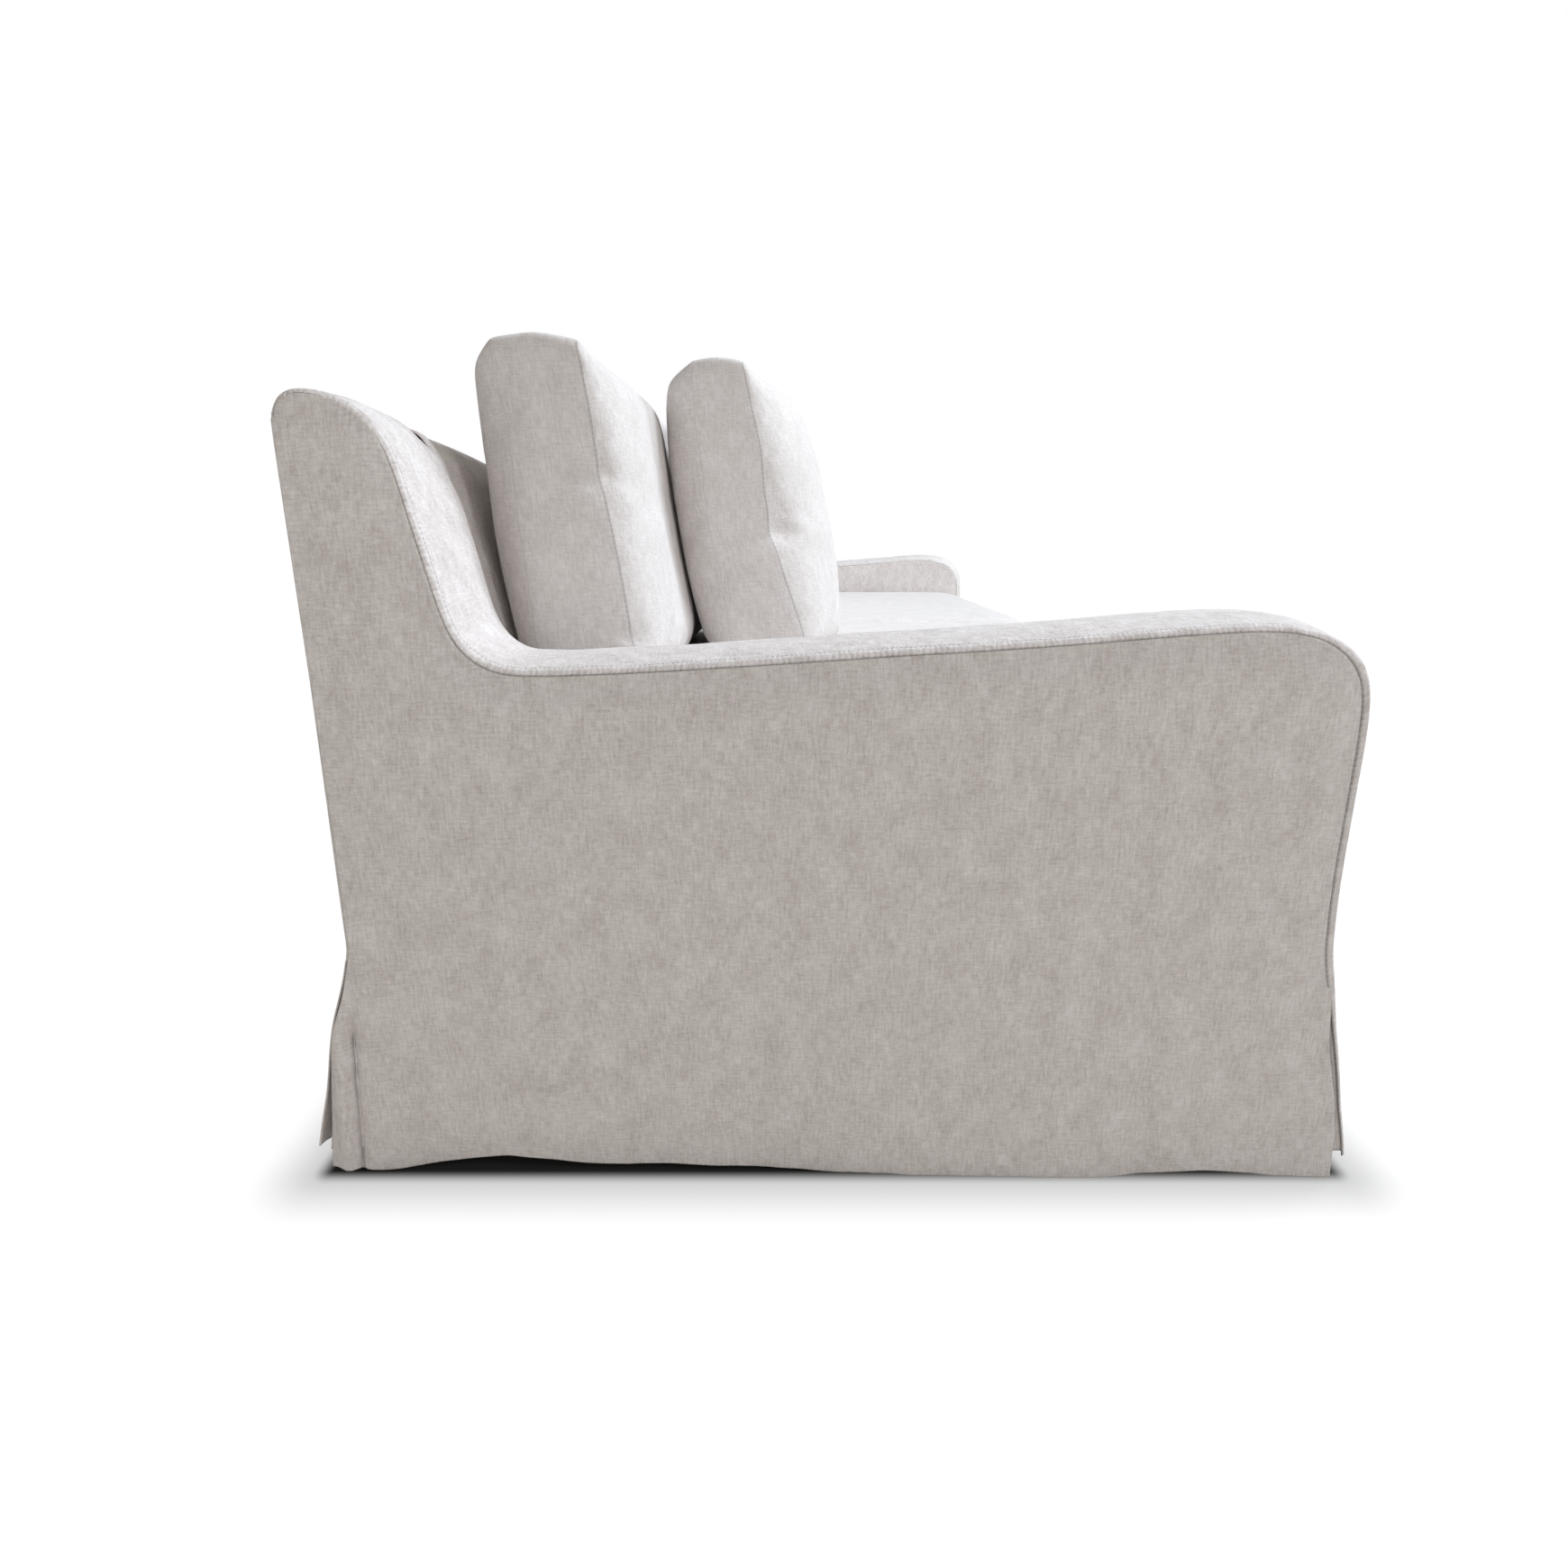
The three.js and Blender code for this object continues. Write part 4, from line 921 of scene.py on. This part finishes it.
def pillow(name, width, height, front, rear, front_crown, rear_crown, middle, seed, pinch_depth=0.0):
    """A boxed pillow that stands on the seat; front and rear give its seams' Y at each height."""
    def place(s, t, w):
        full = np.where(w == 1, fullness(s, t, width, height, 0.210, 0.040, 1.0),
                        fullness(s, t, width, height, 0.050, 0.026, 0.8))
        across, up = round_corners(s, t, width, height, 0.018)
        z = PILLOW_BASE + height * up - 0.010 * np.sin(np.pi * across) * up
        drawn = 0.008 * (2 * across - 1) * np.sin(np.pi * np.clip(up, 0, 1)) ** 0.7
        x = middle + width * (across - 0.5) - drawn
        y = front(z) * w + rear(z) * (1 - w)
        rumple = 0.0016 * creases(s * width / 0.09 + 5 * w, t * height / 0.08, seed)
        y = y - np.where(w == 1, front_crown + rumple, 0) * full
        y = y + np.where(w == 0, rear_crown + rumple, 0) * full
        pinch = np.exp(-(s * width / 0.035) ** 2 - ((t - PINCH_HEIGHT) * height / 0.016) ** 2)
        y = y + pinch_depth * pinch * w
        x = x + 0.6 * pinch_depth * pinch * np.sin(np.pi * w / 2)
        sway = 0.004 * np.sin(np.pi * w) + 0.0024 * creases(w * 1.2, (s + t) * 7, seed + 9)
        sway = sway * np.where((w > 0) & (w < 1), 1, 0)
        x = x + np.where(s == 0, -sway, 0) + np.where(s == 1, sway, 0)
        z = z + np.where(t == 1, sway, 0)
        return np.stack([x, y, z], axis=-1)

    obj = boxed_cushion(name, (width, height, 0.100), 0.010, place)
    z = vertex_array(obj.data)[:, 2]
    hold(obj, np.where(z < PILLOW_BASE + 0.002, 1.0, 0.1))
    return obj


def rest_between(obj, front, rear):
    """Presses a pillow in where it would pass what stands in front of it or behind it."""
    points = vertex_array(obj.data)
    points[:, 1] = eased_to(points[:, 1], rear(points[:, 2]))
    points[:, 1] = -eased_to(-points[:, 1], -front(points[:, 2]))
    points[:, 2] = np.maximum(points[:, 2], PILLOW_BASE + 0.0004)
    set_vertices(obj.data, points)


def keep_inside(obj, node_name, axes):
    """Holds a cushion in its own space along some axes, where it would press into its neighbours."""
    low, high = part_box(node_name)
    points = vertex_array(obj.data)
    for axis in axes:
        points[:, axis] = eased_to(points[:, axis], high[axis] - CUSHION_CLEARANCE, CUSHION_EASE)
        points[:, axis] = -eased_to(-points[:, axis], -low[axis] - CUSHION_CLEARANCE, CUSHION_EASE)
    set_vertices(obj.data, points)


A_FRONT = [(0.220, 0.503), (0.228, 0.559), (0.245, 0.664), (0.2595, 0.745), (0.266, 0.810),
           (0.271, 0.846), (0.279, 0.889)]
A_REAR = [(0.334, 0.503), (0.341, 0.559), (0.3505, 0.679), (0.3570, 0.792), (0.3610, 0.828),
          (0.3695, 0.891)]
B_FRONT = [(0.018, 0.503), (0.030, 0.549), (0.066, 0.658), (0.077, 0.712), (0.0845, 0.747),
           (0.0880, 0.792), (0.1130, 0.908)]
B_REAR = [(0.118, 0.503), (0.130, 0.549), (0.150, 0.658), (0.1620, 0.735), (0.1710, 0.802),
          (0.1735, 0.837), (0.1765, 0.906)]
PILLOW_MEETING = [(0.168, 0.503), (0.179, 0.5365), (0.194, 0.600), (0.205, 0.658), (0.2160, 0.731),
                  (0.2220, 0.801), (0.2250, 0.860), (0.2250, 0.910)]

PINCH_HEIGHT, PINCH_DEPTH = 0.46, 0.005
CUSHION_CLEARANCE, CUSHION_EASE = 0.0006, 0.010

soft = {}
for name, side in SIDES.items():
    soft[f"seat_cushion_{name}"] = seat_cushion(f"seat_cushion_{name}", side)
    for place_name in ("outer", "inner"):
        node_name = f"back_pillow_{place_name}_{name}"
        low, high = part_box(node_name)
        soft[node_name] = pillow(node_name, high[0] - low[0] - 0.004, 0.384, line_through(A_FRONT),
                                 line_through(A_REAR), 0.036, 0.044, (low[0] + high[0]) / 2,
                                 300 + len(soft))
    node_name = f"front_pillow_{name}"
    low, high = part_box(node_name)
    soft[node_name] = pillow(node_name, high[0] - low[0] - 0.004, 0.401, line_through(B_FRONT),
                             line_through(B_REAR), 0.078, 0.052, (low[0] + high[0]) / 2,
                             300 + len(soft), PINCH_DEPTH)

inflate(list(soft.values()))
for node_name, obj in soft.items():
    meeting = line_through(PILLOW_MEETING)
    keep_inside(obj, node_name, (0, 1, 2) if node_name.startswith("seat") else (0,))
    if node_name.startswith("back_pillow"):
        rest_between(obj, lambda z: meeting(z) + 0.001, lambda z: back_plane(z) + PILLOW_DENT - 0.0045)
    if node_name.startswith("front_pillow"):
        rest_between(obj, lambda z: 0 * z - 0.030, lambda z: meeting(z) - 0.001)
    obj.vertex_groups.clear()
    obj.data.materials.append(cushion_linen)
    add_modifier(obj, "SUBSURF", levels=1, render_levels=1)
    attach(obj, node_name)
    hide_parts(node_name)


# Padding

def pad(name, node_name, pressed, pushed):
    """Batting in the space of a CAD pad, pressed in and pushed to the rear, with a lumpy surface."""
    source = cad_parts[node_name]
    obj = bpy.data.objects.new(name, source.data.copy())
    bpy.context.collection.objects.link(obj)
    obj.data.materials.clear()
    obj.data.materials.append(padding)
    obj.data.transform(Matrix.Translation((0, pushed, 0)))
    add_modifier(obj, "REMESH", mode="VOXEL", voxel_size=0.010, use_smooth_shade=True)
    add_modifier(obj, "SMOOTH", factor=0.5, iterations=4)
    add_modifier(obj, "DISPLACE", strength=-pressed, mid_level=0)
    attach(obj, "frame")
    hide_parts(node_name)


for node_name, fill, pressed, pushed in (
        ("seat_deck_pad", 0.7, 0.002, 0), ("back_pad", 0.6, 0.006, 0.006),
        ("arm_pad_left", 0.6, 0.006, 0), ("arm_pad_right", 0.6, 0.006, 0)):
    pad(f"{node_name}_batting", node_name, pressed, pushed)


# Materials of the frame's own nodes

HARDWOOD = ((0.56, 0.40, 0.24, 1), (0.36, 0.23, 0.12, 1), 0.55)
LEG_WOOD = ((0.085, 0.048, 0.028, 1), (0.030, 0.016, 0.010, 1), 0.38)
timbers = {axis: timber(f"hardwood_{axis}", index, *HARDWOOD) for index, axis in enumerate("xyz")}
leg_wood = timber("leg_wood", 2, *LEG_WOOD)
steel = spring_steel()
strap = webbing()

GRAIN = {"front_rail": "x", "rear_rail": "x", "back_bottom_rail": "x", "back_top_rail": "x",
         "centre_rail": "y", "side_rail": "y", "arm_top_rail": "y", "front_post": "z",
         "rear_post": "z", "back_centre_post": "z", "corner_block": "x"}


def finish_of(node_name):
    """The material of a node of the frame, or None where a sheet or cushion replaces it."""
    if node_name.startswith("leg_"):
        return leg_wood
    if node_name.startswith("seat_spring"):
        return steel
    if node_name.startswith("back_webbing"):
        return strap
    return next((timbers[axis] for start, axis in GRAIN.items() if node_name.startswith(start)), None)


for node_name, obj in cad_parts.items():
    finish = finish_of(node_name)
    if finish is None:
        continue
    obj.data.materials.clear()
    obj.data.materials.append(finish)
    if finish not in (steel, strap):
        add_modifier(obj, "BEVEL", width=0.0018, segments=2, limit_method="ANGLE")


# Stage, light and camera

CAMERA_PLACE = (-HALF - 0.8693, 0.0575, 0.690)
CAMERA_PITCH = math.radians(15.45)
CAMERA_LENS = 36 * 1020 / 1740
FLOOR_GLOW = 0.99
FLOOR_BOUNCE = (0.546, 0.534, 0.501, 1)
# Painted shadow in the floor's glow: depth and reach of a tight contact shadow and a soft wide one, round an outline
# just inside the hem.
CONTACT_SHADOW = (0.58, 0.024)
SOFT_SHADOW = (0.41, 0.095)
SHADOW_FRONT, SHADOW_REAR = -0.556, 0.566
SHADOW_MIDDLE = (SHADOW_FRONT + SHADOW_REAR) / 2
SHADOW_HALF = (HALF - 0.006, (SHADOW_REAR - SHADOW_FRONT) / 2 - 0.006)

camera_data = bpy.data.cameras.new("camera")
camera_data.sensor_width = 36
camera_data.lens = CAMERA_LENS
camera_data.clip_end = 200
camera = bpy.data.objects.new("camera", camera_data)
bpy.context.collection.objects.link(camera)
camera.location = CAMERA_PLACE
camera.rotation_euler = (math.pi / 2 - CAMERA_PITCH, 0, -math.pi / 2)
bpy.context.scene.camera = camera


def floor():
    """A white floor that glows and also lights the sofa, with a painted shadow: its glow fades to a soft dark edge
    where the hem hangs just above it, wherever the lamps are.
    """
    size = 40
    mesh = bpy.data.meshes.new("floor")
    mesh.from_pydata([(-size, -size, 0), (size, -size, 0), (size, size, 0), (-size, size, 0)], [],
                     [(0, 1, 2, 3)])
    obj = bpy.data.objects.new("floor", mesh)
    bpy.context.collection.objects.link(obj)
    material, tree, shader = new_material("floor")
    shader.inputs["Base Color"].default_value = (0.06, 0.06, 0.06, 1)
    shader.inputs["Roughness"].default_value = 1.0
    shader.inputs["Specular IOR Level"].default_value = 0.0
    place = node(tree, "NewGeometry").outputs["Position"]
    place = node(tree, "VectorMath", [(0, place), (1, (0.0, SHADOW_MIDDLE, 0.0))],
                 operation="SUBTRACT").outputs[0]
    place = node(tree, "VectorMath", [(0, place)], operation="ABSOLUTE").outputs[0]
    place = node(tree, "VectorMath", [(0, place), (1, (*SHADOW_HALF, 0.0))],
                 operation="SUBTRACT").outputs[0]
    place = node(tree, "VectorMath", [(0, place), (1, (0.0, 0.0, 0.0))],
                 operation="MAXIMUM").outputs[0]
    off_hem = node(tree, "VectorMath", [(0, place)], operation="LENGTH").outputs["Value"]
    glow = FLOOR_GLOW
    # Painted shadow: the glow is taken down towards the outline under the hem, whatever the lamps do.
    for depth, reach in (CONTACT_SHADOW, SOFT_SHADOW):
        shade = node(tree, "MapRange", [("Value", off_hem), ("From Min", 0.0), ("From Max", reach),
                                        ("To Min", depth), ("To Max", 0.0)],
                     interpolation_type="SMOOTHSTEP").outputs[0]
        glow = math_node(tree, "SUBTRACT", glow, shade)
    seen = node(tree, "LightPath").outputs["Is Camera Ray"]
    tint = node(tree, "Mix", [(0, seen), (6, FLOOR_BOUNCE), (7, (1, 1, 1, 1))],
                data_type="RGBA").outputs[2]
    tree.links.new(tint, shader.inputs["Emission Color"])
    tree.links.new(glow, shader.inputs["Emission Strength"])
    mesh.materials.append(material)


def area_light(name, place, target, size, power, colour):
    """A disk of light that faces a target."""
    data = bpy.data.lights.new(name, "AREA")
    data.shape = "DISK"
    data.size = size
    data.energy = power
    data.color = colour
    obj = bpy.data.objects.new(name, data)
    bpy.context.collection.objects.link(obj)
    obj.location = place
    away = Vector(place) - Vector(target)
    obj.rotation_euler = away.to_track_quat("Z", "Y").to_euler()


def world_light(strength, colour):
    """Even light from all round, behind a white backdrop."""
    world = bpy.data.worlds.new("studio")
    bpy.context.scene.world = world
    world.use_nodes = True
    tree = world.node_tree
    tree.nodes.clear()
    soft_box = node(tree, "Background", [("Color", colour), ("Strength", strength)])
    backdrop = node(tree, "Background", [("Color", (1, 1, 1, 1)), ("Strength", 1.0)])
    seen = node(tree, "LightPath").outputs["Is Camera Ray"]
    mixed = node(tree, "MixShader", [(0, seen), (1, soft_box.outputs[0]), (2, backdrop.outputs[0])])
    out = node(tree, "OutputWorld")
    tree.links.new(mixed.outputs[0], out.inputs["Surface"])


floor()
area_light("key", (2.4, -5.2, 3.9), (0, 0, 0.5), 1.3, 205, (0.82, 0.91, 1.0))
area_light("overhead", (-0.25, -1.4, 3.3), (0, 0, 0.5), 1.0, 68, (0.86, 0.93, 1.0))
area_light("rake", (-3.2, -3.6, 2.7), (-1.1, 0.1, 0.35), 0.8, 27, (0.98, 0.98, 1.0))
area_light("left", (-7.5, 0.3, 3.0), (-1.0, 0, 0.4), 3.5, 58, (1.0, 0.955, 0.92))
world_light(0.250, (1.0, 0.955, 0.92, 1))
bpy.context.scene.view_settings.view_transform = "Standard"
bpy.context.scene.view_settings.look = "None"
